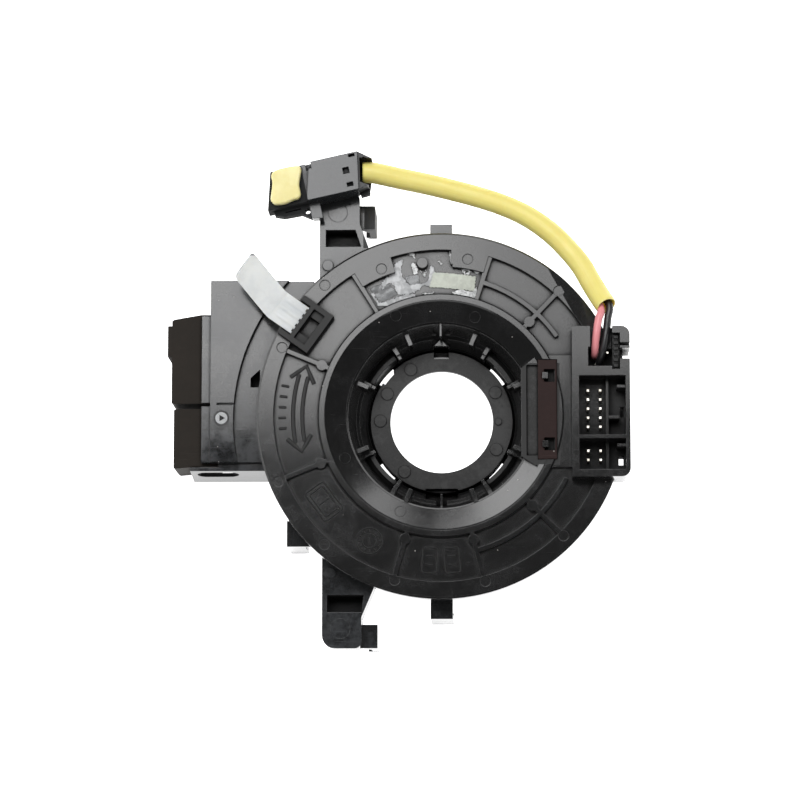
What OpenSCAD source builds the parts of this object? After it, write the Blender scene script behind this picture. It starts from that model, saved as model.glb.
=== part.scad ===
// Steering clock spring: a rotor that turns on a fixed case, joined by a coiled flat cable.
// +Z runs along the steering axis towards the driver, +Y is up in the front view.
// The origin is on the steering axis at the rear edge of the shaft bore's wall.

/* [Hub and bore] */
// Diameter of the shaft bore
shaft_bore_d = 29; // [27:0.5:30]
// Length of the bore's wall, which is the thickness of the hub floor
hub_floor_t = 1.8; // [1.4:0.1:2.4]
// Radius of the hub floor
hub_floor_r = 20; // [19.4:0.1:20.2]
// Gap around the hub floor
hub_gap = 0.7; // [0.5:0.1:0.9]
// Wall of the funnel, the collars and the cable drum
rotor_wall = 1.5; // [1.2:0.1:1.8]
// Angle between a snap arm and the X axis
snap_angle = 41; // [39:1:43]
// Half of the angle that a snap arm covers
snap_half_angle = 13; // [10:1:14]

/* [Rotor flange] */
// Radius of the rotor flange
flange_r = 51.4; // [51:0.1:51.8]
// Height of the rim's front face above the bore's rear edge
rim_z = 17.2; // [17:0.1:17.6]
// Depth of the sunk panels in the flange
panel_depth = 1.8; // [1.4:0.1:2]
// Thickness of the flange under the panels
flange_web = 2; // [1.8:0.1:2.2]
// Height of the skirt below the flange
skirt_h = 2; // [1.6:0.1:2.4]
// Wall of the skirt
skirt_wall = 1.2; // [1:0.1:1.4]
// Radius where the rim meets the panels
panel_outer_r = 46.6; // [46.3:0.1:46.9]
// Outer radius of the collar round the funnel
collar_r = 34.2; // [33.8:0.1:34.6]
// Radius of the funnel's mouth
funnel_mouth_r = 32; // [31.6:0.1:32.4]
// Radius where the shallow cone turns into the steep wall
funnel_step_r = 26.4; // [26:0.1:26.6]
// Fall of the shallow cone
cone_fall = 1.7; // [1.3:0.1:2]
// Width of the radial ribs
rib_w = 1.2; // [0.9:0.1:1.6]
// Radius of the round bosses on the ribs
rib_boss_r = 1.5; // [1.2:0.1:1.8]
// Inner radius of the arc ribs between the panels
arc_rib_r = 38.5; // [38:0.1:39]
// Radius of the round moulding marks on the rim
mark_r = 1.5; // [1.2:0.1:1.8]

/* [Lock tab] */
// Width of the lock tab
tab_w = 8.8; // [8:0.1:9.4]
// Thickness of the lock tab
tab_t = 0.5; // [0.4:0.1:0.7]
// Direction in which the lock tab pulls out
tab_angle = 144.3; // [143:0.1:146]
// Offset of the lock tab from the steering axis
tab_offset = -1.35; // [-1.8:0.05:-1]
// Distance from the steering axis at which the lock tab bends aside
tab_bend_u = 54.9; // [54:0.1:56]
// Distance of the lock tab's free end from the steering axis
tab_end_u = 69.4; // [68.4:0.1:70.4]
// Sideways turn of the lock tab's free end
tab_sway = 3.9; // [3.4:0.1:4.4]
// Gap between the lock tab and the rails of its frame
tab_gap = 0.5; // [0.4:0.05:0.6]
// Width of the frame's rails
rail_w = 1.5; // [1.3:0.1:1.8]
// Height of the rails above the rim
rail_h = 1.6; // [1.2:0.1:2]

/* [Connector block] */
// Height of the connector block above the panels
block_h = 7.8; // [7.6:0.1:8]
// Distance of the block's inner face from the steering axis
block_x = 36.5; // [36.4:0.1:37]
// Distance of the block's outer face from the steering axis
block_outer_x = 52.5; // [52.2:0.1:52.8]
// Upper end of the block
block_top_y = 23.8; // [23.6:0.1:24]
// Lower end of the block
block_bottom_y = -18.2; // [-18.6:0.1:-18]
// Wall of the block
block_wall = 1.4; // [1.2:0.1:1.6]
// Width of a header terminal
pin_w = 0.64; // [0.5:0.02:0.8]
// Length of a header terminal above the cavity floor
pin_h = 5; // [4:0.1:5.6]
// Spacing of the terminals along a row
pin_pitch = 2.55; // [2.4:0.05:2.6]
// Spacing of the two rows of terminals
row_pitch = 3.4; // [3:0.1:3.8]
// Thickness of the terminal cover
cover_t = 0.9; // [0.7:0.1:1]
// Gap around the pieces that drop into a pocket
pocket_gap = 0.15; // [0.1:0.05:0.25]

/* [Case] */
// Inner radius of the case wall
case_inner_r = 47.3; // [47.2:0.1:47.6]
// Thickness of the case wall
case_wall = 1.7; // [1.5:0.1:1.8]
// Height of the case wall
case_wall_z = 12.6; // [12.2:0.1:12.8]
// Height of the front face of the arms and the side housing
case_front_z = 7.6; // [7.2:0.1:7.8]
// Thickness of the front plates
plate_t = 1.6; // [1.3:0.1:1.9]
// Radius of the step between the sunk band and the side housing
band_r = 58.6; // [58:0.1:59]
// Depth of the sunk band
band_depth = 2; // [1.6:0.1:2.4]
// Reach of the side housing to the left
housing_x = 65.1; // [64.6:0.1:65.6]
// Upper edge of the side housing
housing_top_y = 39.8; // [39.4:0.1:40.2]
// Lower edge of the side housing
housing_bottom_y = 11.7; // [11.4:0.1:12]
// Height of the rear seating face
seat_z = -4.8; // [-5.2:0.1:-4.6]
// Height of the foot ends
foot_z = -13.8; // [-15:0.1:-12]

/* [Arms] */
// Left edge of the arms
arm_left_x = -34.3; // [-34.6:0.1:-33.9]
// Right edge of the arms
arm_right_x = -23; // [-23.4:0.1:-22.6]
// End of the upper arm
arm_top_y = 64.8; // [64:0.1:65.6]
// End of the lower arm
arm_bottom_y = -64.3; // [-65:0.1:-63.6]
// Depth of the arms
arm_depth = 10.8; // [9:0.1:12]
// Wall of the arms
arm_wall = 1.6; // [1.3:0.1:1.9]
// Width of a claw
claw_w = 4.1; // [3.8:0.1:4.6]
// Length of a claw along the arm
claw_l = 6.6; // [6.2:0.1:7.2]
// Thickness of a claw's leg and of the feet
leg_t = 1.8; // [1.5:0.1:2.1]
// Reach of the hooks at the foot ends
hook_reach = 1.2; // [0.8:0.1:1.4]

/* [Rear cover and cable] */
// Thickness of the rear cover
rear_t = 1.6; // [1.3:0.1:1.8]
// Gap for the turning pieces at the hub
run_gap = 0.3; // [0.2:0.05:0.4]
// Number of turns of the coiled flat cable
cable_turns = 7; // [5:1:8]
// Thickness of the flat cable
cable_t = 0.3; // [0.2:0.05:0.4]
// Width of the flat cable
cable_w = 14.8; // [12:0.1:15.2]
// Thickness of a slide sheet
sheet_t = 0.2; // [0.15:0.05:0.25]

/* [Harness sockets] */
// Distance of the sockets' outer face from the steering axis
socket_x = 76.4; // [75.8:0.1:77]
// Depth of the sockets in X
socket_w = 13.2; // [12.4:0.1:13.4]
// Wall of the sockets
socket_wall = 1.4; // [1.2:0.1:1.6]
// Depth of a socket's mouth
socket_depth = 11; // [9:0.1:11.6]
// Gap between the two sockets
socket_gap = 1.5; // [1.2:0.1:1.8]
// Length of the upper socket
upper_socket_l = 24.1; // [23.6:0.1:24.6]
// Length of the lower socket
lower_socket_l = 16.7; // [16.2:0.1:17]
// Spacing of the harness terminals
harness_pitch = 2.5; // [2.2:0.1:2.6]

/* [Airbag lead] */
// Outer diameter of the lead's sleeve
sleeve_d = 6; // [5.4:0.1:6.2]
// Diameter of a wire
wire_d = 2.1; // [1.8:0.1:2.2]
// Length of the plug's body
plug_l = 25; // [24:0.1:26]
// Height of the plug's front face
plug_h = 10.6; // [10:0.1:11]
// Depth of the plug
plug_depth = 10.3; // [10:0.1:10.6]
// Angle of the plug to the X axis
plug_angle = 12.6; // [11:0.1:14]
// Wall of the plug
plug_wall = 1.3; // [1.1:0.1:1.5]

/* [Hidden] */
$fn = 72;
e = 0.01;
black = "#26272a";
charcoal = "#3a3b3e";

// Heights of the rotor
panel_z = rim_z - panel_depth;
web_z = panel_z - flange_web;
skirt_z = web_z - skirt_h;
block_front_z = panel_z + block_h;
bore_r = shaft_bore_d / 2;
funnel_foot_r = hub_floor_r + hub_gap;
cone_low_z = rim_z - 0.2 - cone_fall;
sleeve_base_t = 1.2;
sleeve_base_z = seat_z + sleeve_base_t;
ring_z = sleeve_base_z + run_gap;
ring_t = 1.4;
hub_foot_z = ring_z + ring_t + run_gap;
drum_r = funnel_step_r + rotor_wall + 1.4;
drum_inner_r = drum_r - rotor_wall;
drum_z = seat_z + rear_t + 0.4;
case_outer_r = case_inner_r + case_wall;
ring_outer_r = drum_inner_r - run_gap;
arm_r1 = hub_floor_r + 1.4;
arm_r2 = arm_r1 + 1.2;
ring_inner_r = arm_r2 + 0.6;
hook_z = 4;
arm_catch = 1.2;
pocket_top_z = 8;

// Turns a sector of a ring about the steering axis, from radius r1 to r2 and angle a1 to a2
module sector(r1, r2, z1, z2, a1, a2) {
    rotate([0, 0, a1]) rotate_extrude(angle = a2 - a1)
        translate([r1, z1]) square([r2 - r1, z2 - z1]);
}

// A plain ring about the steering axis
module ring(r1, r2, z1, z2) {
    rotate_extrude() translate([r1, z1]) square([r2 - r1, z2 - z1]);
}

// A box given by its lowest and highest corners
module span(low, high) {
    translate(low) cube([high[0] - low[0], high[1] - low[1], high[2] - low[2]]);
}

// An upright post at a radius and an angle
module post(r, a, post_r, z1, z2) {
    rotate([0, 0, a]) translate([r, 0, z1]) cylinder(r = post_r, h = z2 - z1);
}

// A radial rib centred on an angle
module rib(a, r1, r2, z1, z2, w) {
    rotate([0, 0, a]) translate([r1, -w / 2, z1]) cube([r2 - r1, w, z2 - z1]);
}

// A plate with straight sides: an outline raised from z1 to z2
module slab(outline, z1, z2) {
    translate([0, 0, z1]) linear_extrude(height = z2 - z1) polygon(outline);
}

// Angles at which the snap arms stand
snap_angles = [snap_angle, 180 - snap_angle, 180 + snap_angle, -snap_angle];

// Rotor

// Section of the whole moulding: rim, panels, collar, funnel and cable drum
module rotor_section() {
    polygon([
        [flange_r, skirt_z], [flange_r, rim_z - 0.5], [flange_r - 0.5, rim_z], [panel_outer_r, rim_z],
        [panel_outer_r, panel_z], [collar_r, panel_z], [collar_r, rim_z - 0.3], [collar_r - 0.3, rim_z],
        [funnel_mouth_r + 0.4, rim_z], [funnel_mouth_r, rim_z - 0.2], [funnel_step_r, cone_low_z],
        [funnel_step_r - 0.5, cone_low_z - 0.8], [funnel_foot_r + 3.2, 7.2], [funnel_foot_r + 2.3, 6.2],
        [funnel_foot_r + 0.2, hub_floor_t], [funnel_foot_r, hub_foot_z],
        [funnel_foot_r + rotor_wall, hub_foot_z], [funnel_foot_r + rotor_wall + 0.2, hub_floor_t - 0.6],
        [funnel_foot_r + 2.4 + rotor_wall, 5.6], [funnel_step_r - 0.5 + rotor_wall, web_z - 0.8],
        [drum_inner_r, web_z - 0.8], [drum_inner_r, drum_z], [drum_r, drum_z], [drum_r, web_z],
        [flange_r - skirt_wall, web_z], [flange_r - skirt_wall, skirt_z]
    ]);
}

// Angles of the plain radial ribs that carry a boss
rib_angles = [157, 202, -106, -75.4, -45, 46.4];
lead_box_x = 22.4;
cover_x = 27.1;
cover_w = 5.2;
cover_top_y = 15.3;
cover_bottom_y = -12.5;
lead_box_z = rim_z - 0.6;
cover_z = lead_box_z + 0.3;
pocket_floor_z = web_z + 0.8;
lead_floor_z = hub_floor_t - 0.4;

// Outline of the box that holds the lead block, with its two chamfered corners
function lead_box_outline() = [
    [lead_box_x, cover_bottom_y + 0.8], [lead_box_x, cover_top_y - 2.3],
    [cover_x - 0.2, cover_top_y + 1.3], [block_x, cover_top_y + 1.3],
    [block_x, cover_bottom_y - 2.3], [cover_x - 0.2, cover_bottom_y - 2.3]
];

// Ribs, lands and bosses that stand on the panels
module flange_ribs() {
    for (a = rib_angles) {
        rib(a, collar_r - 0.5, panel_outer_r + 0.3, panel_z - 0.1, rim_z - 0.1, rib_w);
        post(36, a, rib_boss_r, panel_z - 0.1, rim_z - 0.1);
    }
    for (span_deg = [[-75.4, -27], [34, 71.8]])
        sector(arc_rib_r, arc_rib_r + rib_w, panel_z - 0.1, rim_z - 0.1, span_deg[0], span_deg[1]);
    sector(collar_r - 0.5, panel_outer_r + 0.3, panel_z - 0.1, rim_z - 0.1, 71.8, 73.6);
    sector(collar_r - 0.5, panel_outer_r + 0.3, panel_z - 0.1, rim_z - 0.1, 120.6, 122.3);
    sector(panel_outer_r - 4.8, panel_outer_r + 0.3, panel_z - 0.1, rim_z, 73.2, 85.4);
    sector(panel_outer_r - 4, panel_outer_r + 0.3, panel_z - 0.1, rim_z, 85, 86.2);
    sector(panel_outer_r - 4.4, panel_outer_r + 0.3, panel_z - 0.1, rim_z, 107.4, 121);
    post(43.1, 96.7, rib_boss_r, panel_z - 0.1, rim_z + 0.5);
}

// Places its children in the lock tab's own axes: X outwards along the tab, Y across it
module at_tab() {
    rotate([0, 0, tab_angle]) translate([0, -tab_offset, 0]) children();
}

// Distance of the bridge over the tab's inner end from the steering axis
bridge_u = 45.9;

// Frame that guides the lock tab: two rails, an inner bar and the two lips beside its window
module tab_frame() {
    rail_y = tab_w / 2 + tab_gap;
    frame_u = bridge_u - 5.6;
    window_y = 2.75;
    at_tab() {
        for (side = [-1, 1]) {
            span([frame_u, side * (rail_y + rail_w / 2) - rail_w / 2, panel_z - 0.1],
                [flange_r - 0.9, side * (rail_y + rail_w / 2) + rail_w / 2, rim_z + rail_h]);
            span([frame_u, side * (rail_y + window_y) / 2 - (rail_y - window_y) / 2, panel_z - 0.1],
                [bridge_u - 0.2, side * (rail_y + window_y) / 2 + (rail_y - window_y) / 2 + 0.1, rim_z + 0.4]);
        }
        span([frame_u, -rail_y - 0.2, panel_z - 0.1], [frame_u + 2, rail_y + 0.2, rim_z + rail_h]);
    }
}

// Bridge that closes the top of the frame over the tab's inner end
module tab_bridge() {
    rail_y = tab_w / 2 + tab_gap;
    at_tab() {
        span([bridge_u, -rail_y - 0.2, rim_z + 0.5 + tab_t], [bridge_u + 1.3, rail_y + 0.2, rim_z + rail_h]);
        for (k = [-2 : 2])
            span([bridge_u + 1.2, 1.7 * k - 0.4, rim_z + 0.5 + tab_t], [bridge_u + 1.7, 1.7 * k + 0.4, rim_z + rail_h]);
    }
}

// Catch block and end bars for one snap arm, cut later by its pocket
module snap_catch() {
    sector(funnel_foot_r + 1.2, arm_r2 + 3.4, hub_foot_z, pocket_top_z,
        -snap_half_angle - 4, snap_half_angle + 4);
    for (side = [-1, 1])
        rib(side * (snap_half_angle + 2.2), funnel_foot_r - 0.1, arm_r2 + 3, hub_floor_t + 0.6, 7.2, 1);
}

// Room for one snap arm: a slot below and a wider pocket above the ledge
module snap_pocket() {
    sector(funnel_foot_r - 1, arm_r2 + 0.35, hub_foot_z - 1, pocket_top_z + 6,
        -snap_half_angle - 1, snap_half_angle + 1);
    sector(funnel_foot_r - 1, arm_r2 + arm_catch + 0.5, hook_z, pocket_top_z + 6,
        -snap_half_angle - 1, snap_half_angle + 1);
}

// Cut-outs for the plug-in pieces on the right of the rotor
module lead_pockets() {
    span([lead_box_x + rotor_wall, -8.6, lead_floor_z], [cover_x + 0.4, 8.6, lead_box_z + 1]);
    span([lead_box_x + rotor_wall, cover_bottom_y + 1, pocket_floor_z],
        [cover_x + cover_w - 0.7, cover_top_y - 1.4, lead_box_z + 1]);
    span([cover_x - pocket_gap, cover_bottom_y - pocket_gap, cover_z - cover_t],
        [cover_x + cover_w + pocket_gap, cover_top_y + pocket_gap, lead_box_z + 1]);
}

// Latch posts that hold the terminal cover down through its two windows
window_x = cover_x + 1.7;
window_ys = [cover_top_y - 4.4, cover_bottom_y + 4.2];
module cover_hooks() {
    for (y = window_ys) {
        span([window_x + pocket_gap, y - 0.9, pocket_floor_z - 0.2], [window_x + 1.1, y + 0.9, cover_z + 0.5]);
        span([window_x - 0.5, y - 0.9, cover_z], [window_x + 1.1, y + 0.9, cover_z + 0.5]);
    }
}

// Shallow facet that falls away from the rim's front face above the connector block
module rim_facet() {
    fall_angle = 14;
    rotate([0, 0, 29]) translate([panel_outer_r - 0.5, 0, rim_z]) rotate([0, fall_angle, 0])
        span([0, -25, 0], [8, 25, 4]);
}

module rotor_plate() {
    color(black) {
        difference() {
            union() {
                rotate_extrude() rotor_section();
                flange_ribs();
                tab_frame();
                intersection() {
                    slab(lead_box_outline(), hub_foot_z, lead_box_z);
                    translate([0, 0, hub_foot_z - 1]) cylinder(r = drum_inner_r + 0.2, h = rim_z);
                }
                slab(lead_box_outline(), web_z, lead_box_z);
                for (a = snap_angles) rotate([0, 0, a]) snap_catch();
                for (k = [0 : 7])
                    rib(22.5 + 45 * k, funnel_foot_r + rotor_wall - 0.3, drum_inner_r + 0.2,
                        hub_foot_z, web_z - 1, 1.2);
                span([-0.3, 22.4, 5], [0.3 - e, 26.8, cone_low_z - 0.6]);
                slab([[-2, 20.9], [1.7, 20.9], [-0.15, 23]], 4.6, 6.8);
            }
            for (a = snap_angles) rotate([0, 0, a]) snap_pocket();
            span([block_x, block_bottom_y, skirt_z - 1], [flange_r + 1, block_top_y, rim_z + 1]);
            lead_pockets();
            sector(drum_inner_r - 1, drum_r + 1, drum_z + 0.6, web_z - 1.5, 17.6, 20);
            for (mark = [[48.2, 156.7], [48.7, -157.6], [48.5, -131.7], [47.9, -105.5], [48.1, -75.2],
                [48, -45], [47.9, 46.4], [44.5, 80.1], [44.4, 111.8], [48.9, 131.4]])
                post(mark[0], mark[1], mark_r, rim_z - 0.2, rim_z + 1);
            span([-4.6, -22.2, hub_foot_z - 1], [4.6, -18, 9]);
            span([-1.5, -24.8, hub_foot_z - 1], [1.5, -22, 11]);
            span([-2.2, 18, hub_foot_z - 1], [2, 21.6, 4.4]);
            rim_facet();
        }
        span([-0.3, -funnel_foot_r - 4.5, hub_foot_z], [0.3, -funnel_foot_r - 0.3, 7]);
        tab_bridge();
        cover_hooks();
    }
}

// Retaining sleeve: hub floor, bore, snap arms and the base that holds the case
module snap_arm() {
    arm_top = hook_z + 2.2;
    sector(arm_r1, arm_r2, seat_z, arm_top, -snap_half_angle, snap_half_angle);
    rotate([0, 0, -snap_half_angle]) rotate_extrude(angle = 2 * snap_half_angle)
        polygon([[arm_r2 - 0.2, hook_z], [arm_r2 + arm_catch, hook_z],
            [arm_r2 + arm_catch, hook_z + 0.8], [arm_r2, arm_top], [arm_r2 - 0.2, arm_top]]);
}

floor_marks = [[17.3, 120.2], [17.3, 152.4], [17.3, 179], [17.3, 28.6], [17.3, -27.2], [17.6, -126.6]];

module retaining_sleeve() {
    tube_r = hub_floor_r - 1.2;
    color(charcoal) difference() {
        union() {
            ring(bore_r, hub_floor_r, 0, hub_floor_t);
            ring(tube_r, hub_floor_r, sleeve_base_z - 0.1, 0.1);
            ring(tube_r, drum_inner_r - 2.4, seat_z, sleeve_base_z);
            for (a = snap_angles) rotate([0, 0, a]) snap_arm();
            for (m = floor_marks) post(m[0], m[1], 1.7, hub_floor_t - 0.1, hub_floor_t + 0.3);
            post(16, 0, 0.9, hub_floor_t - 0.1, hub_floor_t + 0.5);
        }
        for (a = snap_angles)
            sector(hub_floor_r + 0.2, arm_r1 - 0.1, seat_z - 1, sleeve_base_z + 1, a - 8, a + 8);
        sector(hub_floor_r - 0.8, hub_floor_r + 1, seat_z - 1, hub_floor_t + 1, 133, 146);
        span([-2.2, 18, -e], [2, 21.6, hub_floor_t + 1]);
        span([-4.6, -hub_floor_r - 1, -e], [4.6, -19, hub_floor_t + 1]);
    }
}

// Lead block on the rotor, where the flat cable ends
module rotor_lead_block() {
    x1 = lead_box_x + rotor_wall + pocket_gap;
    color("#4b4640") {
        span([x1, -8.6 + pocket_gap, lead_floor_z], [cover_x + 0.4 - pocket_gap, 8.6 - pocket_gap, pocket_floor_z + 0.2]);
        span([x1, cover_bottom_y + 1 + pocket_gap, pocket_floor_z],
            [window_x, cover_top_y - 1.4 - pocket_gap, cover_z - cover_t - pocket_gap]);
    }
}

module terminal_cover() {
    color("#33201f") difference() {
        span([cover_x, cover_bottom_y, cover_z - cover_t], [cover_x + cover_w, cover_top_y, cover_z]);
        for (y = window_ys)
            span([window_x, y - 1.8, 0], [cover_x + cover_w - 0.5, y + 1.8, rim_z + 1]);
    }
}

// Connector block
cavity_z = web_z + 1.8;
divider_y = -7.1;
divider_t = 1;
cavity_x1 = block_x + block_wall + 0.5;
cavity_x2 = block_outer_x - 1.2;
ten_way_y = 1.05;
four_way_y = -12;
row_x = 40.9;
bay_y1 = 12.6;
bay_y2 = 17.9;
slot_x1 = 47.6;
slot_w = 2.2;
slot_y1 = 11.7;
slot_y2 = 21.8;
slot_z = cavity_z + 1.8;

// Outline of the block with its two rounded outer corners
module block_outline() {
    corner = 2.4;
    polygon([[block_x, block_bottom_y], [block_outer_x - corner, block_bottom_y],
        [block_outer_x, block_bottom_y + corner], [block_outer_x, block_top_y - corner],
        [block_outer_x - corner, block_top_y], [block_x, block_top_y]]);
    for (y = [block_bottom_y + corner, block_top_y - corner])
        translate([block_outer_x - corner, y]) circle(r = corner);
}

// Square holes or terminals of a two-row header, centred on a height
module header(count, y, z1, z2, w) {
    for (row = [0, 1]) for (k = [0 : count - 1])
        translate([row_x + row * row_pitch - w / 2, y + (k - (count - 1) / 2) * pin_pitch - w / 2, z1])
            cube([w, w, z2 - z1]);
}

module connector_block() {
    overhang_z = case_front_z + 0.6;
    color(black) difference() {
        translate([0, 0, overhang_z]) linear_extrude(height = block_front_z - overhang_z) block_outline();
        cylinder(r = max(flange_r - skirt_wall, case_outer_r + 0.6), h = web_z);
        span([cavity_x1, divider_y + divider_t / 2, cavity_z], [cavity_x2, bay_y1 - 2.7, block_front_z + 1]);
        span([cavity_x1, block_bottom_y + 2, cavity_z], [cavity_x2, divider_y - divider_t / 2, block_front_z + 1]);
        span([41, bay_y1, cavity_z], [slot_x1 + 0.1, bay_y2, block_front_z + 1]);
        span([41.6, bay_y2 - 1, cavity_z + 4], [slot_x1 + 0.1, block_top_y + 1, block_front_z + 1]);
        span([slot_x1, slot_y1, slot_z], [slot_x1 + slot_w, slot_y2, block_front_z + 1]);
        span([50.6, 14.6, overhang_z - 1], [block_outer_x + 1, 17.6, block_front_z + 1]);
        span([slot_x1 + slot_w - e, 14.6, slot_z + 2], [block_outer_x + 1, 17.6, block_front_z + 1]);
        span([slot_x1 + slot_w - e, 18.3, slot_z + 2], [block_outer_x + 1, 19.1, block_front_z + 1]);
        span([49.9, -0.8, overhang_z - 1], [cavity_x2 - 0.4, 2.2, cavity_z + 1]);
        span([49.4, -14.2, overhang_z - 1], [cavity_x2 - 0.4, -11.6, cavity_z + 1]);
        header(5, ten_way_y, web_z - 1, cavity_z + 1, pin_w);
        header(2, four_way_y, web_z - 1, cavity_z + 1, pin_w);
    }
    color(black) {
        span([45.9, divider_y + divider_t / 2, cavity_z], [46.7, bay_y1 - 2.7, cavity_z + 2.6]);
        span([45.9, block_bottom_y + 2, cavity_z], [46.7, divider_y - divider_t / 2, cavity_z + 2.6]);
        span([46.7, -1.8, cavity_z], [49.6, -1, block_front_z - 2.4]);
        span([cavity_x2 - 2.4, 6.6, cavity_z], [cavity_x2, 7.4, block_front_z - 1]);
        span([cavity_x2 - 2.4, -9.8, cavity_z], [cavity_x2, -9, block_front_z - 1]);
    }
}

module ten_way_terminals() {
    color("gold") header(5, ten_way_y, web_z, cavity_z + pin_h, pin_w);
}

module four_way_terminals() {
    color("gold") header(2, four_way_y, web_z, cavity_z + pin_h, pin_w);
}

// Bar that holds the lead's wires in their bay, with grip ribs
module wire_retainer() {
    color(charcoal) {
        span([slot_x1 + pocket_gap, slot_y1 + pocket_gap, slot_z],
            [slot_x1 + slot_w - pocket_gap, slot_y2 - pocket_gap, block_front_z - 1.4]);
        for (k = [0 : 5])
            span([slot_x1 + pocket_gap + 0.3, slot_y1 + 0.7 + 1.6 * k, block_front_z - 1.5],
                [slot_x1 + slot_w - pocket_gap - 0.3, slot_y1 + 1.5 + 1.6 * k, block_front_z - 1]);
    }
}

// Ends of the two wires in the bay
wire_starts = [[42.9, 16.2], [44, 14]];
crimp_z = cavity_z + 2;

module lead_terminals() {
    color("silver") {
        for (w = wire_starts)
            translate([w[0], w[1], cavity_z]) cylinder(d = wire_d, h = crimp_z - cavity_z);
        translate([46.4, 16.8, cavity_z]) cylinder(d = pin_w, h = 4.4);
    }
}

// Lock tab: a thin strip, turned aside where it leaves the flange
module lock_tab() {
    tab_z = rim_z + 0.2;
    half = tab_w / 2;
    color("white") at_tab() slab([
        [bridge_u + 0.2, -half], [tab_bend_u, -half], [tab_end_u, -half - tab_sway],
        [tab_end_u + 0.3, half - tab_sway], [tab_bend_u, half], [bridge_u + 0.2, half]
    ], tab_z, tab_z + tab_t);
}

// Case

foot_tab_r = case_outer_r + 7;

// Height of a point just inside the case wall, at a distance x from the vertical axis
function wall_y(x) = sqrt(case_outer_r * case_outer_r - x * x) - 2;

// Outline of the side housing, run under the flange to the case wall
function housing_outline(inset) = [
    [-housing_x + inset, -housing_bottom_y + inset], [-housing_x + inset, housing_top_y - inset],
    [-36 - inset, housing_top_y - inset], [-36 - inset, wall_y(36)], [-wall_y(0), 0],
    [-wall_y(housing_bottom_y), -housing_bottom_y + inset]
];

// Points of a rounded corner about a centre, turned clockwise from the first angle
function rounded(centre, r, first) = [for (k = [0 : 5])
    [centre[0] + r * cos(first - 18 * k), centre[1] + r * sin(first - 18 * k)]];

function upper_arm_outline(inset) = concat(
    [[arm_left_x + inset, wall_y(arm_left_x)]],
    rounded([arm_left_x + 1.8, arm_top_y - 1.8], 1.8 - inset, 180),
    rounded([arm_right_x - 1.8, arm_top_y - 1.8], 1.8 - inset, 90),
    [[arm_right_x - inset, arm_top_y - 8.8], [arm_right_x + 2.4 - inset, case_outer_r + 0.4],
    [arm_right_x + 3.2, wall_y(arm_right_x + 3.2)]]);

lower_arm_left_x = arm_left_x + 0.9;
lower_arm_right_x = arm_right_x + 0.6;

function lower_arm_outline(inset) = concat(
    [[lower_arm_left_x + inset, -wall_y(lower_arm_left_x)], [lower_arm_right_x + 4.2, -wall_y(lower_arm_right_x + 4.2)],
    [lower_arm_right_x + 3.5 - inset, 1.6 - case_outer_r], [lower_arm_right_x - inset, arm_bottom_y + 8.7]],
    rounded([lower_arm_right_x - 1.8, arm_bottom_y + 1.8], 1.8 - inset, 0),
    rounded([lower_arm_left_x + 3.6, arm_bottom_y + 3.6], 3.6 - inset, -90));

// One arm: a hollow box under a front plate, with its well left solid
module arm(side) {
    well_y = side > 0 ? [case_outer_r - 1, case_outer_r + 6.4] : [-case_outer_r - 6.6, -case_outer_r + 1];
    difference() {
        slab(side > 0 ? upper_arm_outline(0) : lower_arm_outline(0), case_front_z - arm_depth, case_front_z);
        difference() {
            slab(side > 0 ? upper_arm_outline(arm_wall) : lower_arm_outline(arm_wall),
                case_front_z - arm_depth - 1, case_front_z - plate_t);
            span([arm_left_x - 1, well_y[0], foot_z], [0, well_y[1], case_front_z]);
        }
        cylinder(r = case_inner_r + 0.5, h = 60, center = true);
    }
}

// Wells sunk in the front of the arms
module arm_wells() {
    well_z = case_front_z - 6.5;
    y1 = case_outer_r + 0.4;
    y2 = case_outer_r + 5.2;
    slab([[arm_left_x + 1.7, y1], [arm_left_x + 1.7, y2], [arm_right_x - 1.2, y2], [arm_right_x + 0.4, y1]],
        well_z, case_front_z + 1);
    slab([[arm_left_x + 2.3, -y1], [arm_right_x + 1.2, -y1], [arm_right_x + 0.7, -y2], [arm_left_x + 2.3, -y2]],
        well_z, case_front_z + 1);
}

// A leg with its outer face at x = 0 and a hook that points to -X, from y = 0 to its width
module hooked_leg(width, top_z) {
    span([-leg_t, 0, foot_z], [0, width, top_z]);
    translate([0, width, 0]) rotate([90, 0, 0]) linear_extrude(height = width)
        polygon([[-leg_t + e, foot_z], [-leg_t + e, foot_z + 2.8], [-leg_t - hook_reach, foot_z + 2.2],
            [-leg_t - hook_reach, foot_z + 1.6], [-leg_t - 0.2, foot_z]]);
}

// Claw beside an arm: a bridge and a leg whose hook points back under the arm
module claw(y, shift) {
    x1 = arm_right_x - 0.6 + shift;
    x2 = arm_right_x + claw_w + shift;
    top_z = case_front_z - arm_depth + 4.4;
    span([x1, y, top_z - 2.4], [x2, y + claw_l, top_z]);
    translate([x2, y, 0]) hooked_leg(claw_l, top_z);
    for (rib_y = [y, y + claw_l - 1])
        translate([0, rib_y + 1, 0]) rotate([90, 0, 0]) linear_extrude(height = 1)
            polygon([[x1 + 0.6, top_z - 2.3], [x2 - leg_t + e, top_z - 2.3], [x2 - leg_t + e, top_z - 6]]);
}

// Foot at the edge of the case: a ledge over a leg
module foot(a, reach, w) {
    top_z = case_front_z - band_depth;
    rotate([0, 0, a]) {
        span([case_outer_r - 0.5, -w / 2, top_z - 2.2], [reach, w / 2, top_z]);
        translate([reach, -w / 2, 0]) hooked_leg(w, top_z);
    }
}

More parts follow.
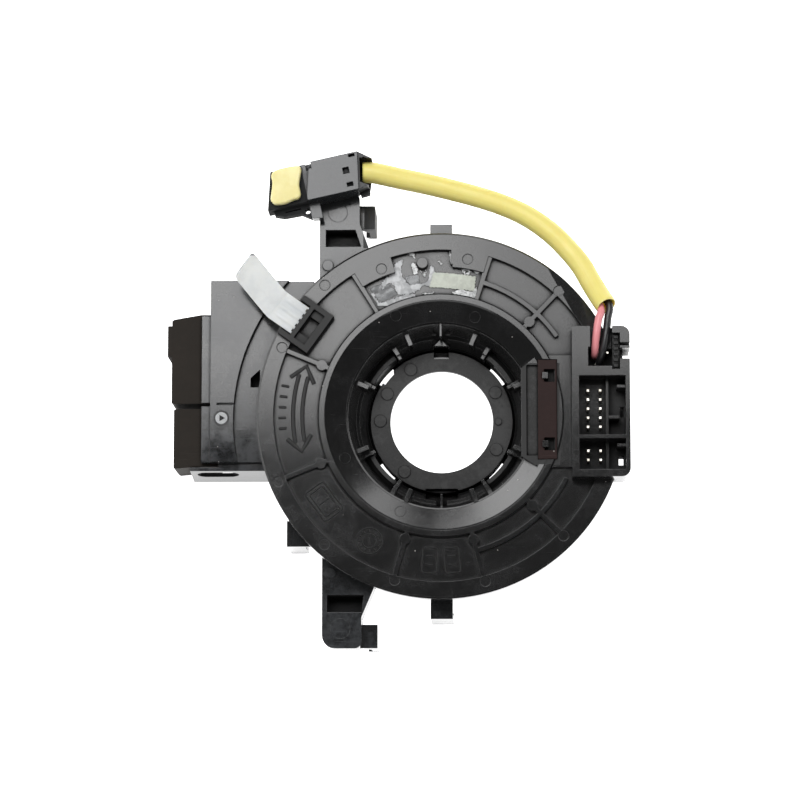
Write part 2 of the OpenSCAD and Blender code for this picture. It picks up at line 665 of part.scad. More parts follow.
// Foot at the lower left of the case: a square ledge with its leg on the lower side
module corner_foot() {
    top_z = case_front_z - band_depth;
    left_x = -case_outer_r + 5.6;
    low_y = -case_outer_r + 13.4;
    difference() {
        span([left_x, low_y, top_z - 2.2], [left_x + 7.4, low_y + 7.2, top_z]);
        translate([0, 0, top_z - 3]) cylinder(r = case_inner_r + 0.6, h = 4);
    }
    translate([left_x, low_y, 0]) rotate([0, 0, -90]) hooked_leg(5.2, top_z);
}

tab_angles = [62, 32, -28, -156];

// Flared guard wall along the lower edge of the side housing, with its long hole
module guard_wall() {
    difference() {
        translate([5.5 - socket_x, 0, 0]) rotate([90, 0, 90]) linear_extrude(height = 23.4)
            polygon([[-socket_low_y() - 0.1, 3.9], [-socket_low_y() - 1.1, 3.9],
                [-socket_low_y() - 2.6, -9.8], [-socket_low_y() - 1.6, -9.8], [-socket_low_y() - 0.1, 2.4]]);
        hull() for (x = [9.8 - socket_x, 16.4 - socket_x])
            translate([x, -socket_low_y() - 6, -0.6]) rotate([-90, 0, 0]) cylinder(d = 5.2, h = 12, $fn = 24);
    }
}

socket_split_y = 4.6;
socket_top = case_front_z - band_depth - 2.4;
function socket_low_y() = lower_socket_l - socket_split_y + socket_gap / 2;

module case() {
    band_z = case_front_z - band_depth;
    ledge_x = housing_x + 2.6;
    color("#56585b") {
        difference() {
            union() {
                ring(case_inner_r, case_outer_r, seat_z + rear_t, case_wall_z);
                difference() {
                    slab(housing_outline(0), seat_z + rear_t, case_front_z);
                    slab(housing_outline(plate_t), seat_z, band_z - plate_t);
                    difference() {
                        slab(housing_outline(plate_t), 0, case_front_z - plate_t);
                        cylinder(r = band_r + plate_t, h = 20);
                    }
                    ring(case_inner_r - 1, band_r, band_z, case_front_z + 1);
                    cylinder(r = case_inner_r + 0.5, h = 60, center = true);
                }
                arm(1);
                arm(-1);
                span([-ledge_x, -housing_bottom_y, socket_top + 0.2], [-housing_x + 0.5, housing_top_y - 9.8, band_z]);
                guard_wall();
                span([2.3 - housing_x, -socket_low_y() - 0.2, 0.4], [5.5 + 23.3 - socket_x, 0.5 - housing_bottom_y, 3.9]);
            }
            arm_wells();
            slab([[-53.8, 9.6], [-51.2, 9.6], [-51.2, 14.6], [-53.8, 12.2]], 0, case_front_z + 1);
            span([-ledge_x - 1, socket_split_y - 0.4, 0], [-housing_x, socket_split_y + 0.6, case_front_z]);
            span([-63.2, socket_split_y - 0.3, case_front_z - 0.5], [-57.6, socket_split_y + 0.3, case_front_z + 1]);
            span([-socket_x - 1, -socket_low_y() - 0.1, foot_z - 1],
                [-socket_x + socket_w + 0.1, upper_socket_y[1] + upper_skew + 0.1, socket_top]);
            sector(case_inner_r - 1, case_outer_r + 1, seat_z, cable_z + cable_w, cable_end - 0.2, cable_end + 1);
        }
        claw(arm_top_y - 9.1, 0);
        claw(arm_bottom_y + 0.5, 0.8);
        for (a = [90, -90]) foot(a, foot_tab_r, 6.2);
        foot(0, case_outer_r + 2, 6.2);
        corner_foot();
        for (a = tab_angles)
            rib(a, case_outer_r - 0.3, case_outer_r + 1.1, -0.6, 0.8, 3);
        translate([-32, 44, case_front_z - 0.1]) cylinder(r = 1.5, h = 0.5);
        translate([-31, -43.3, case_front_z - 0.1]) cylinder(r = 1.5, h = 0.5);
    }
}

// Rear cover: a plate with a raised guide ring at the hub and snap tabs at the edge
module rear_cover() {
    plate_z = seat_z + rear_t;
    side_x = socket_x - socket_w - 0.2;
    tab_r = case_outer_r + 0.1;
    color(charcoal) {
        rotate_extrude() polygon([
            [ring_inner_r, ring_z], [ring_inner_r, ring_z + ring_t], [ring_outer_r, ring_z + ring_t],
            [ring_outer_r, plate_z], [case_outer_r, plate_z], [case_outer_r, seat_z],
            [ring_outer_r - 1, seat_z], [ring_outer_r - 1, ring_z]
        ]);
        difference() {
            slab([[-side_x, -housing_bottom_y], [-side_x, housing_top_y], [-36, housing_top_y],
                [-36, wall_y(36)], [5 - wall_y(housing_bottom_y), -housing_bottom_y]], seat_z, plate_z);
            translate([0, 0, seat_z - 1]) cylinder(r = case_outer_r - 2, h = 5);
        }
        for (a = tab_angles) rotate([0, 0, a]) {
            span([case_outer_r - 1, -3, seat_z + 0.2], [tab_r + 1, 3, plate_z - 0.2]);
            difference() {
                span([tab_r, -3, plate_z - 0.4], [tab_r + 1, 3, 2.2]);
                span([tab_r - 1, -1.65, -0.75], [tab_r + 2, 1.65, 1]);
            }
        }
    }
}

// One harness socket: a shroud that opens to the rear, from y1 to y2, with its two ends askew
module socket_shell(x1, y1, y2, low_skew, high_skew) {
    x2 = -socket_x + socket_w;
    skew_x = -socket_x + 8.2;
    color("#2b2622") difference() {
        slab([[x1, y1 - low_skew + 0.3], [x1 + 0.6, y1 - low_skew], [skew_x, y1 + low_skew], [x2, y1 + low_skew],
            [x2, y2 + high_skew], [skew_x, y2 + high_skew], [x1 + 0.6, y2], [x1, y2 - 0.4]], foot_z, socket_top);
        span([x1 + socket_wall, y1 + low_skew + socket_wall, foot_z - 1],
            [x2 - socket_wall, y2 - socket_wall, foot_z + socket_depth]);
        harness_pins(y1, y2, foot_z, harness_pin_top);
        for (k = [0 : 2])
            span([x1 - 1, y1 + 3 + k * (y2 - y1 - 7) / 2, foot_z - 1],
                [x1 + 0.5, y1 + 4 + k * (y2 - y1 - 7) / 2, foot_z + 9]);
    }
}

// Two rows of square terminals for a socket from y1 to y2
module harness_pins(y1, y2, z1, z2) {
    count = floor((y2 - y1 - 2 * socket_wall - 1) / harness_pitch);
    for (row = [-1, 1]) for (k = [0 : count - 1])
        translate([-socket_x + socket_w / 2 + row * 1.6 - pin_w / 2,
            (y1 + y2) / 2 + (k - (count - 1) / 2) * harness_pitch - pin_w / 2, z1])
            cube([pin_w, pin_w, z2 - z1]);
}

upper_socket_y = [socket_split_y + socket_gap / 2, socket_split_y + socket_gap / 2 + upper_socket_l];
lower_socket_y = [socket_split_y - socket_gap / 2 - lower_socket_l, socket_split_y - socket_gap / 2];
upper_skew = 1.3;
lower_skew = 0.3;
harness_pin_z = foot_z + 4.6;
harness_pin_top = socket_top - 1.2;

module upper_harness_socket() {
    socket_shell(-socket_x, upper_socket_y[0], upper_socket_y[1], 0, upper_skew);
    color("#2b2622") span([-socket_x - 1.2, 18.8, foot_z + 4],
        [-socket_x + 0.1, 27.6, socket_top]);
}

module lower_harness_socket() {
    socket_shell(0.7 - socket_x, lower_socket_y[0], lower_socket_y[1], lower_skew, 0);
}

module upper_harness_terminals() {
    color("gold") harness_pins(upper_socket_y[0], upper_socket_y[1], harness_pin_z, harness_pin_top);
}

module lower_harness_terminals() {
    color("gold") harness_pins(lower_socket_y[0], lower_socket_y[1], harness_pin_z, harness_pin_top);
}

// Lead block in the side housing, where the flat cable ends
module case_lead_block() {
    color("#4b4640") difference() {
        span([-socket_x + socket_w + 0.2, 5.7 - housing_bottom_y, seat_z + rear_t],
            [-case_outer_r - 0.8, housing_top_y - 15.8, 1.8]);
        translate([0, 0, seat_z]) cylinder(r = case_outer_r + 0.3, h = case_wall_z);
    }
}

module rear_slide_sheet() {
    color("#d8d2c4") ring(drum_r + 0.6, case_inner_r - 0.4, seat_z + rear_t, seat_z + rear_t + sheet_t);
}

module front_slide_sheet() {
    color("#d8d2c4") ring(drum_r + 0.6, case_inner_r - 0.4, web_z - sheet_t, web_z);
}

// Flat cable, wound as a spiral between the drum and the case wall
spiral_steps = 24;
spiral_r1 = drum_r + 0.5;
spiral_r2 = case_inner_r - 0.5;
cable_start = 18;
cable_end = 174;
cable_z = seat_z + rear_t + sheet_t;
spiral_angle = 360 * cable_turns + cable_end - cable_start;
function spiral_point(k, side) = let (
    share = k / (cable_turns * spiral_steps),
    r = spiral_r1 + (spiral_r2 - spiral_r1) * share + side * cable_t / 2,
    a = cable_start + spiral_angle * share
) [r * cos(a), r * sin(a)];

module flat_cable() {
    last = cable_turns * spiral_steps;
    color("#e4dfd2") {
        slab(concat([for (k = [0 : last]) spiral_point(k, 1)], [for (k = [last : -1 : 0]) spiral_point(k, -1)]),
            cable_z, cable_z + cable_w);
        rotate([0, 0, cable_end]) span([spiral_r2 - 0.1, -cable_t / 2, cable_z],
            [case_outer_r + 0.9, cable_t / 2, cable_z + 4.6]);
    }
}

// Airbag lead

// Routes, as points chosen by hand on smooth curves
sleeve_route = [[46.2, 29.8, 20.4], [44.6, 32.6, 18.6], [42.2, 36.9, 16.9], [39.3, 42.3, 15.5],
    [35.1, 47.7, 14.3], [30.4, 52.5, 13.2], [24.2, 57, 12.3], [17.2, 60.4, 11.7], [9.9, 62.9, 11.4],
    [2.7, 64.9, 11.3], [-4.4, 66.6, 11.5], [-11.4, 68, 12], [-17, 69.2, 12.6], [-19.6, 69.6, 12.9],
    [-22, 69.6, 13]];
red_wire_route = [[42.9, 16.2, 17.2], [42.9, 16.6, 19.2], [43, 18.4, 21.1], [43.4, 22.2, 21.9],
    [44, 26, 21.5], [44.7, 28.9, 20.4]];
black_wire_route = [[44, 14, 17.2], [44.3, 14.7, 19], [45.3, 17.8, 20.6], [46.1, 22.4, 20.9],
    [46.6, 26.4, 20.4], [47, 30.1, 20]];

function unit(v) = v / norm(v);
function heading(p, i) = unit(p[min(i + 1, len(p) - 1)] - p[max(i - 1, 0)]);

// A round tube swept along a route, with flat ends
module tube(p, d, sides, across) {
    rings = len(p);
    points = [for (i = [0 : rings - 1]) let (t = heading(p, i), u = unit(cross(t, across)), v = cross(t, u))
        for (k = [0 : sides - 1]) p[i] + d / 2 * (u * cos(360 * k / sides) + v * sin(360 * k / sides))];
    walls = [for (i = [0 : rings - 2]) for (k = [0 : sides - 1]) let (n = (k + 1) % sides)
        [i * sides + k, i * sides + n, (i + 1) * sides + n, (i + 1) * sides + k]];
    first = [for (k = [sides - 1 : -1 : 0]) k];
    final = [for (k = [0 : sides - 1]) (rings - 1) * sides + k];
    polyhedron(concat(points), concat(walls, [first], [final]), convexity = 4);
}

module lead_sleeve() {
    color("#f0e089") tube(sleeve_route, sleeve_d, 12, [0, 0, 1]);
}

module red_wire() {
    color("#e98590") tube(red_wire_route, wire_d, 8, [1, 0, 0]);
}

module black_wire() {
    color(black) tube(black_wire_route, wire_d, 8, [1, 0, 0]);
}

// Places its children in the plug's own axes: X along the plug, Z towards the driver
plug_z = case_front_z + 0.3;
module at_plug() {
    translate([-35.9, 66.5, plug_z]) rotate([0, 0, plug_angle]) children();
}

button_l = 8.6;
button_x = 0.7 - plug_l / 2;
button_travel = 1.5;
mouth_z1 = 2;
mouth_z2 = 7;
mouth_depth = 10.4;

// Outline with slanting ends, from x1 to x2 on the plug's axis and from y1 to y2 across it
function leaning(x1, x2, y1, y2, lean1, lean2) = [
    [x1 + lean1 * y1, y1], [x2 + lean2 * y1, y1], [x2 + lean2 * y2, y2], [x1 + lean1 * y2, y2]];

end_lean = 0.28;
rear_lean = 0.18;
rear_x = plug_l / 2 + 0.6;

// The plug's two round terminals, from x1 to their common end
module plug_pins(x1) {
    for (y = [-1.9, 1.9]) translate([x1, y, (mouth_z1 + mouth_z2) / 2]) rotate([0, 90, 0])
        cylinder(d = 1.2, h = 1.5 - x1, $fn = 24);
}

// Outline of the lock button with its four soft lobes
module button_outline() {
    lobe = 2.2;
    y1 = 0.5 - plug_h / 2;
    y2 = plug_h / 2;
    for (x = [button_x + lobe, button_x + button_l - lobe]) for (y = [y1 + lobe, y2 - lobe])
        translate([x + end_lean * y, y]) circle(r = lobe);
    polygon(leaning(button_x + 0.5, button_x + button_l - 0.5, y1 + lobe, y2 - lobe, end_lean, end_lean));
    polygon(leaning(button_x + lobe, button_x + button_l - lobe, y1 + 0.4, y2 - 0.4, end_lean, end_lean));
}

module plug_body() {
    half = plug_h / 2;
    color("#6d7074") at_plug() {
        difference() {
            slab(leaning(-plug_l / 2 - 0.1, rear_x, -half, half, end_lean, rear_lean), 0, plug_depth);
            span([-plug_l / 2 - 3, -half + plug_wall, mouth_z1], [-plug_l / 2 + mouth_depth, half - plug_wall, mouth_z2]);
            slab(leaning(-plug_l / 2 - 3, button_x + button_l + 1.9, -plug_h, plug_h, end_lean, end_lean),
                plug_depth - 2, plug_depth + 1);
            span([button_x + 2.3, -1.7, mouth_z2 - 1], [button_x + button_l - 2.2 + button_travel, 1.7, plug_depth]);
            span([button_x + button_l + 2.1, half - 1.9, plug_depth - 3.2],
                [button_x + button_l + 3.7, half + 1, plug_depth + 1]);
            for (vent = [[11.3, 4.1, 0.8], [8.9, -0.3, 1.8], [9.2, -4.1, 1.2]])
                span([vent[0], vent[1], plug_depth - 1.4], [vent[0] + 1.8, vent[1] + vent[2], plug_depth + 1]);
            plug_pins(-plug_l / 2 + mouth_depth - 1);
        }
        difference() {
            slab([[-plug_l / 2, -half + e], [-plug_l / 2, -half - 1.2], [-10, -7.5], [-5, -7.7],
                [-2, -9.8], [0.6, -10.2], [0.6, -half + e]], 1.4, 5.4);
            translate([-3.2, -7.4, 0]) cylinder(d = 1.6, h = 8);
            slab([[-9.5, -half - 0.9], [-9.5, -6.6], [-5, -6.6], [-5, -half - 0.9]], 0, 8);
        }
    }
}

// Hood at the plug's rear, open to the front round the end of the sleeve, with a fin beside it
module plug_rear_hood() {
    half = plug_h / 2;
    low_x = rear_x - rear_lean * half;
    high_x = rear_x + rear_lean * half;
    color("#5e6165") at_plug() difference() {
        union() {
            slab([[low_x, -half], [high_x, half], [plug_l / 2 + 5.2, half - 2.9], [plug_l / 2 + 2.9, 0.6 - half]],
                0.6, plug_depth - 0.4);
            slab([[low_x + 0.2, e - half], [low_x + 0.3, -half - 1.1], [low_x + 2.9, -half - 1], [low_x + 3.2, 0.6 - half]],
                1.4, 3.6);
        }
        slab([[low_x + 0.8, -3.3], [low_x + 2.1, 3.4], [plug_l / 2 + 6, 2.2], [plug_l / 2 + 6, -7]],
            plug_depth / 2 - 4.1, plug_depth + 1);
        slab([[high_x + 0.9, 3.1], [high_x + 1.2, 3.5], [high_x + 3.3, 2.1], [high_x + 3, 1.7]],
            plug_depth - 1.6, plug_depth + 1);
    }
}

module plug_terminals() {
    color("gold") at_plug() plug_pins(-plug_l / 2 + 5.6);
}

module plug_lock_button() {
    color("#f3ecae") at_plug() {
        translate([0, 0, plug_depth - 1.9]) linear_extrude(height = 2.1) button_outline();
        span([button_x + 2.6, -1.4, 7.2], [button_x + button_l - 2.6, 1.4, plug_depth - 1.8]);
    }
}

case();
rear_cover();
upper_harness_socket();
lower_harness_socket();
upper_harness_terminals();
lower_harness_terminals();
case_lead_block();
rear_slide_sheet();
front_slide_sheet();
flat_cable();
rotor_plate();
retaining_sleeve();
rotor_lead_block();
terminal_cover();
connector_block();
ten_way_terminals();
four_way_terminals();
wire_retainer();
lead_terminals();
lock_tab();
red_wire();
black_wire();
lead_sleeve();
plug_body();
plug_rear_hood();
plug_terminals();
plug_lock_button();
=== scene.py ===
"""Looks of a steering clock spring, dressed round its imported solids.

Sizes are millimetres in the part's own frame: +Z runs along the steering axis towards the driver, +Y is up, and
the origin lies on the axis at the rear edge of the shaft bore. Meshes are scaled to metres as they are made.
The coordinates that materials read are metres, and the scales of their noise are cells per metre.
"""

import logging
from collections.abc import Iterable, Sequence
from dataclasses import dataclass
from enum import Enum
from functools import cached_property

import bpy
import numpy as np
from mathutils import Matrix, Vector


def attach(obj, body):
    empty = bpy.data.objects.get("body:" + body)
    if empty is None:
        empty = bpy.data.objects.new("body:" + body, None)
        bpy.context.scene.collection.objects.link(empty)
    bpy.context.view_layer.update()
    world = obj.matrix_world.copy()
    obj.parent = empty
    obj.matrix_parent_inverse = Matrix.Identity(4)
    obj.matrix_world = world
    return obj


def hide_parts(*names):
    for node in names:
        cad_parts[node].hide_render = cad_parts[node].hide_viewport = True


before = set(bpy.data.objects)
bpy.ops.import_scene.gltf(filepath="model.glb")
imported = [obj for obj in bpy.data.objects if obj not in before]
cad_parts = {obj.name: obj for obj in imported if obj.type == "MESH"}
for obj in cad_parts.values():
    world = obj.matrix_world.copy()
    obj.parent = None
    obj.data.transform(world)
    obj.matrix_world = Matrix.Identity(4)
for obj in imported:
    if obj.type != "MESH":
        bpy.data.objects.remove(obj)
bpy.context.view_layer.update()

LOG = logging.getLogger("clock_spring")
MM = 0.001
TURN = 2 * np.pi
UP = np.array([0.0, 0.0, 1.0])

# Heights of the flange's panels, of the case's front face and of its feet
PANEL_Z = 15.4
CASE_Z = 7.6
FLOOR_Z = -13.8

# How deep a bead is sunk, the least angle of a sharp edge in degrees, and the number of waves in a ripple
BEAD_FOOT = 0.06
SHARP_ANGLE = 38
WAVES = 12

DUST_COLOUR = (0.5, 0.48, 0.45, 1.0)
Material, Tree = bpy.types.Material, bpy.types.NodeTree
Socket, Sockets = bpy.types.NodeSocket, bpy.types.bpy_prop_collection
Colour = tuple[float, float, float, float]
Point = tuple[float, float, float]
Pair = tuple[float, float]
Outline = Sequence[Pair]


class Body(Enum):
    """Bodies that the pieces ride on."""

    STATOR = "stator"
    ROTOR = "rotor"
    LOCK_TAB = "lock_tab"
    AIRBAG_LOCK = "airbag_lock"


@dataclass(frozen=True)
class Patch:
    """A closed piece of surface.

    Attributes:
        points: Corners in millimetres, one row each.
        quads: Corner numbers of the four-sided faces.
        caps: Corner numbers of each many-sided end face.
    """

    points: np.ndarray
    quads: np.ndarray
    caps: tuple[np.ndarray, ...] = ()


def joined(patches: Sequence[Patch]) -> Patch:
    """Puts patches into one, with their corner numbers moved on.

    Args:
        patches: The patches to join.

    Returns:
        One patch with every corner and face.
    """
    starts = np.cumsum([0] + [len(p.points) for p in patches[:-1]])
    return Patch(
        np.vstack([p.points for p in patches]),
        np.vstack([p.quads + s for p, s in zip(patches, starts)]),
        tuple(cap + s for p, s in zip(patches, starts) for cap in p.caps),
    )


def grid_quads(rows: int, columns: int, wrap_rows: bool, wrap_columns: bool) -> np.ndarray:
    """Faces of a grid of corners, numbered row by row.

    Args:
        rows: Number of rows.
        columns: Number of corners in a row.
        wrap_rows: Whether the last row joins the first.
        wrap_columns: Whether a row's last corner joins its first.

    Returns:
        Four corner numbers for each face. They run anticlockwise seen from outside where a row runs
        anticlockwise about the direction in which the rows follow each other.
    """
    i = np.arange(rows if wrap_rows else rows - 1)[:, None]
    j = np.arange(columns if wrap_columns else columns - 1)[None, :]
    after_i, after_j = (i + 1) % rows, (j + 1) % columns
    corners = [i * columns + j, i * columns + after_j, after_i * columns + after_j, after_i * columns + j]
    return np.stack(corners, axis=-1).reshape(-1, 4)


def loft(rings: np.ndarray, closed: bool) -> Patch:
    """Skins a row of rings, with a cap on each end unless the row closes on itself.

    Args:
        rings: Array of (rings, corners, 3). Each ring runs anticlockwise about the row's direction.
        closed: Whether the last ring joins the first.

    Returns:
        The closed patch.
    """
    count, sides = rings.shape[:2]
    ends = np.arange(sides)
    caps = () if closed else (ends[::-1], ends + (count - 1) * sides)
    return Patch(rings.reshape(-1, 3), grid_quads(count, sides, closed, True), caps)


def smooth_route(route: Sequence[Point], steps: int) -> np.ndarray:
    """Runs a Catmull-Rom curve through the points of a route.

    Each span between two points is the cubic whose slope at a point is half the chord of its neighbours.

    Args:
        route: Points of the route.
        steps: Points of the curve in each span.

    Returns:
        The curve's points, one row each.
    """
    p = np.asarray(route, float)
    padded = np.vstack([2 * p[0] - p[1], p, 2 * p[-1] - p[-2]])
    a, b, c, d = (padded[k : k + len(p) - 1, None, :] for k in range(4))
    t = np.linspace(0, 1, steps, endpoint=False)[None, :, None]
    curve = b + 0.5 * t * (c - a + t * (2 * a - 5 * b + 4 * c - d + t * (3 * (b - c) + d - a)))
    return np.vstack([curve.reshape(-1, 3), p[-1:]])


def unit(vectors: np.ndarray) -> np.ndarray:
    """Vectors of length one in the same directions."""
    return vectors / np.linalg.norm(vectors, axis=-1, keepdims=True)


def tube_rings(line: np.ndarray, radius: np.ndarray, sides: int, across: np.ndarray) -> np.ndarray:
    """Rings of a round tube: at each point of a line, a circle square to the line.

    Args:
        line: Points of the tube's middle line.
        radius: Radius at each point.
        sides: Corners of a ring.
        across: A direction that the line never follows, or one for each point.

    Returns:
        Array of (points, sides, 3).
    """
    along = unit(np.gradient(line, axis=0))
    u = unit(np.cross(along, np.broadcast_to(across, line.shape)))
    v = np.cross(along, u)
    angle = np.linspace(0, TURN, sides, endpoint=False)[None, :, None]
    return line[:, None] + radius[:, None, None] * (u[:, None] * np.cos(angle) + v[:, None] * np.sin(angle))


def ridge(path: np.ndarray, closed: bool, width: float, height: float) -> Patch:
    """Raises a low bead along a path on a surface that faces the driver.

    The bead's section is a half ellipse that is sunk a little into the surface.

    Args:
        path: Points on the surface, one row each.
        closed: Whether the path closes on itself.
        width: Width of the bead.
        height: Height of the bead above the surface.

    Returns:
        The closed patch.
    """
    along = np.roll(path, -1, axis=0) - np.roll(path, 1, axis=0) if closed else np.gradient(path, axis=0)
    left = unit(np.cross(UP, along))[:, None] * width / 2
    angle = np.linspace(0, np.pi, 7)[None, :, None]
    foot = (path - BEAD_FOOT * UP)[:, None]
    return loft(foot + left * np.cos(angle) + UP * (height + BEAD_FOOT) * np.sin(angle), closed)


def at_height(path: np.ndarray, z: float) -> np.ndarray:
    """A flat path's points with a height, one (x, y, z) row each."""
    return np.column_stack([path, np.full(len(path), z)])


def polar(radius: float, azimuth: float | np.ndarray) -> np.ndarray:
    """The (x, y) at a radius and an azimuth in degrees, one row for each azimuth."""
    angle = np.radians(azimuth)
    return radius * np.stack([np.cos(angle), np.sin(angle)], axis=-1)


def bar_path(low: float, high: float, count: int) -> np.ndarray:
    """Points of a straight bar along Y, one (x, y) row each."""
    return np.column_stack([np.zeros(count), np.linspace(low, high, count)])


def ring_path(x: float, y: float, radius: float, count: int = 40) -> np.ndarray:
    """Points of a circle about (x, y), anticlockwise, one (x, y) row each."""
    angle = np.linspace(0, TURN, count, endpoint=False)
    return np.stack([x + radius * np.cos(angle), y + radius * np.sin(angle)], axis=-1)


def rounded_box_path(width: float, height: float, corner: float, count: int = 8) -> np.ndarray:
    """Points of a rectangle with round corners about the origin.

    Args:
        width: Width of the rectangle.
        height: Height of the rectangle.
        corner: Radius of the corners.
        count: Points on each corner's arc.

    Returns:
        Points, anticlockwise, one (x, y) row each.
    """
    angle = np.linspace(0, TURN / 4, count)[None, :] + np.arange(4)[:, None] * TURN / 4
    signs = np.array([[1, 1], [-1, 1], [-1, -1], [1, -1]])[:, None, :]
    middles = signs * np.array([width / 2 - corner, height / 2 - corner])
    return (middles + corner * np.stack([np.cos(angle), np.sin(angle)], axis=-1)).reshape(-1, 2)


def ripple(x: np.ndarray, y: np.ndarray, size: float, seed: int) -> np.ndarray:
    """Smooth random waviness: the sum of sine waves of seeded direction, length and phase.

    Args:
        x: Places along X.
        y: Places along Y.
        size: Usual length of a wave.
        seed: Seed of the random draws.

    Returns:
        Values of about -1.5 to 1.5.
    """
    draws = np.random.default_rng(seed)
    heading, phase = draws.uniform(0, TURN, (2, WAVES))
    pace = TURN / size * draws.uniform(0.6, 1.8, WAVES)
    waves = np.sin(pace * (x[..., None] * np.cos(heading) + y[..., None] * np.sin(heading)) + phase)
    return waves.sum(axis=-1) / np.sqrt(WAVES)


def within(x: np.ndarray, y: np.ndarray, outline: Outline) -> np.ndarray:
    """Tells which places lie inside an outline, by counting the sides that a ray along X crosses.

    Args:
        x: Places along X.
        y: Places along Y.
        outline: Corners of the outline.

    Returns:
        True for each place inside.
    """
    p = np.asarray(outline, float)
    q = np.roll(p, -1, axis=0)
    rises = (p[:, 1] > y[..., None]) != (q[:, 1] > y[..., None])
    slope = (q[:, 0] - p[:, 0]) / np.where(q[:, 1] == p[:, 1], 1.0, q[:, 1] - p[:, 1])
    return (rises & (x[..., None] < p[:, 0] + (y[..., None] - p[:, 1]) * slope)).sum(axis=-1) % 2 == 1


def add_object(name: str, data: bpy.types.ID) -> bpy.types.Object:
    """Makes an object and puts it into the scene.

    Args:
        name: Name of the object.
        data: Its mesh, light or camera.

    Returns:
        The new object.
    """
    made = bpy.data.objects.new(name, data)
    bpy.context.scene.collection.objects.link(made)
    return made


def make_piece(name: str, patch: Patch, material: Material, body: Body) -> bpy.types.Object:
    """Makes an object from a patch, smooth but for its sharp edges, and lets it ride on a body.

    Args:
        name: Name of the piece.
        patch: Its surface, in millimetres.
        material: Its finish.
        body: The body that it moves with.

    Returns:
        The new object, at the origin.
    """
    mesh = bpy.data.meshes.new(name)
    mesh.from_pydata(patch.points * MM, [], patch.quads.tolist() + [cap.tolist() for cap in patch.caps])
    mesh.shade_smooth()
    mesh.set_sharp_from_angle(angle=np.radians(SHARP_ANGLE))
    mesh.materials.append(material)
    piece = add_object(name, mesh)
    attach(piece, body.value)
    LOG.info("%s: %d faces on %s", name, len(mesh.polygons), body.value)
    return piece


def set_route_map(piece: bpy.types.Object, rows: int, columns: int, length: float) -> None:
    """Gives a tube a map whose U runs along it in centimetres and whose V runs once round it.

    Args:
        piece: The tube, whose first corners are its grid.
        rows: Rings of the tube.
        columns: Corners of a ring.
        length: Length of the tube.
    """
    mesh = piece.data
    corners = np.zeros(len(mesh.loops), dtype=np.int32)
    mesh.loops.foreach_get("vertex_index", corners)
    ring, side = np.divmod(corners, columns)
    values = np.stack([ring / (rows - 1) * length / 10, side / columns], axis=-1)
    mesh.uv_layers.new(name="route").uv.foreach_set("vector", values.astype(np.float32).ravel())


class Nodes:
    """Short calls for filling one node tree.

    Attributes:
        tree: The node tree.
    """

    def __init__(self, tree: Tree) -> None:
        """Starts on a node tree."""
        self.tree = tree

    def fill(self, node: bpy.types.Node, inputs: dict) -> None:
        """Fills a node's inputs.

        Args:
            node: The node.
            inputs: An output socket or a value for each input, by name or number.
        """
        for key, value in inputs.items():
            if isinstance(value, Socket):
                self.tree.links.new(value, node.inputs[key])
            else:
                node.inputs[key].default_value = value

    def add(self, kind: str, inputs: dict | None = None, **settings: object) -> Sockets:
        """Adds a node and fills its inputs.

        Args:
            kind: The node's type without its ShaderNode prefix.
            inputs: An output socket or a value for each input, by name or number.
            **settings: The node's own settings.

        Returns:
            The new node's outputs.
        """
        node = self.tree.nodes.new("ShaderNode" + kind)
        for key, value in settings.items():
            setattr(node, key, value)
        self.fill(node, inputs or {})
        return node.outputs

    def maths(self, operation: str, *values: object, clamp: bool = False) -> Socket:
        """Adds a Math node and returns its output."""
        return self.add("Math", dict(enumerate(values)), operation=operation, use_clamp=clamp)[0]

    def times(self, *values: object, clamp: bool = False) -> Socket:
        """The product of two values."""
        return self.maths("MULTIPLY", *values, clamp=clamp)

    def more(self, value: object, share: float, base: object, clamp: bool = False) -> Socket:
        """A base with a share of a value added to it."""
        return self.maths("MULTIPLY_ADD", value, share, base, clamp=clamp)

    def most(self, *values: object, clamp: bool = False) -> Socket:
        """The greater of two values."""
        return self.maths("MAXIMUM", *values, clamp=clamp)

    def vectors(self, operation: str, *values: object) -> Sockets:
        """Adds a Vector Math node and returns its outputs."""
        return self.add("VectorMath", dict(enumerate(values)), operation=operation)

    def ramp(self, value: object, low: object, high: object, least: float = 0, most: float = 1) -> Socket:
        """Adds a smooth Map Range node from low and high to the other two values, and returns its output."""
        inputs = {"Value": value, "From Min": low, "From Max": high, "To Min": least, "To Max": most}
        return self.add("MapRange", inputs, interpolation_type="SMOOTHSTEP")["Result"]

    def blend(self, share: object, first: object, second: object) -> Socket:
        """Adds a colour Mix node and returns its output."""
        return self.add("Mix", {0: share, 6: first, 7: second}, data_type="RGBA")[2]

    def noise(self, place: object, scale: object, detail: float, distortion: float = 0.0) -> Socket:
        """Adds a Noise Texture node and returns its value."""
        inputs = {"Vector": place, "Scale": scale, "Detail": detail, "Distortion": distortion}
        return self.add("TexNoise", inputs)[0]

    def bevel(self, radius: object, samples: int = 6) -> Socket:
        """Adds a Bevel node and returns its rounded normal."""
        return self.add("Bevel", {"Radius": radius}, samples=samples)[0]

    def bump(self, height: object, depth: float, **inputs: object) -> Socket:
        """Adds a Bump node of a depth in millimetres and returns its normal."""
        return self.add("Bump", {"Height": height, "Distance": depth * MM, **inputs})[0]

    def effect(self, group: Tree, *values: object) -> Socket:
        """Places a shared effect, fills its inputs in their order and returns its output."""
        return self.add("Group", dict(enumerate(values)), node_tree=group)[0]


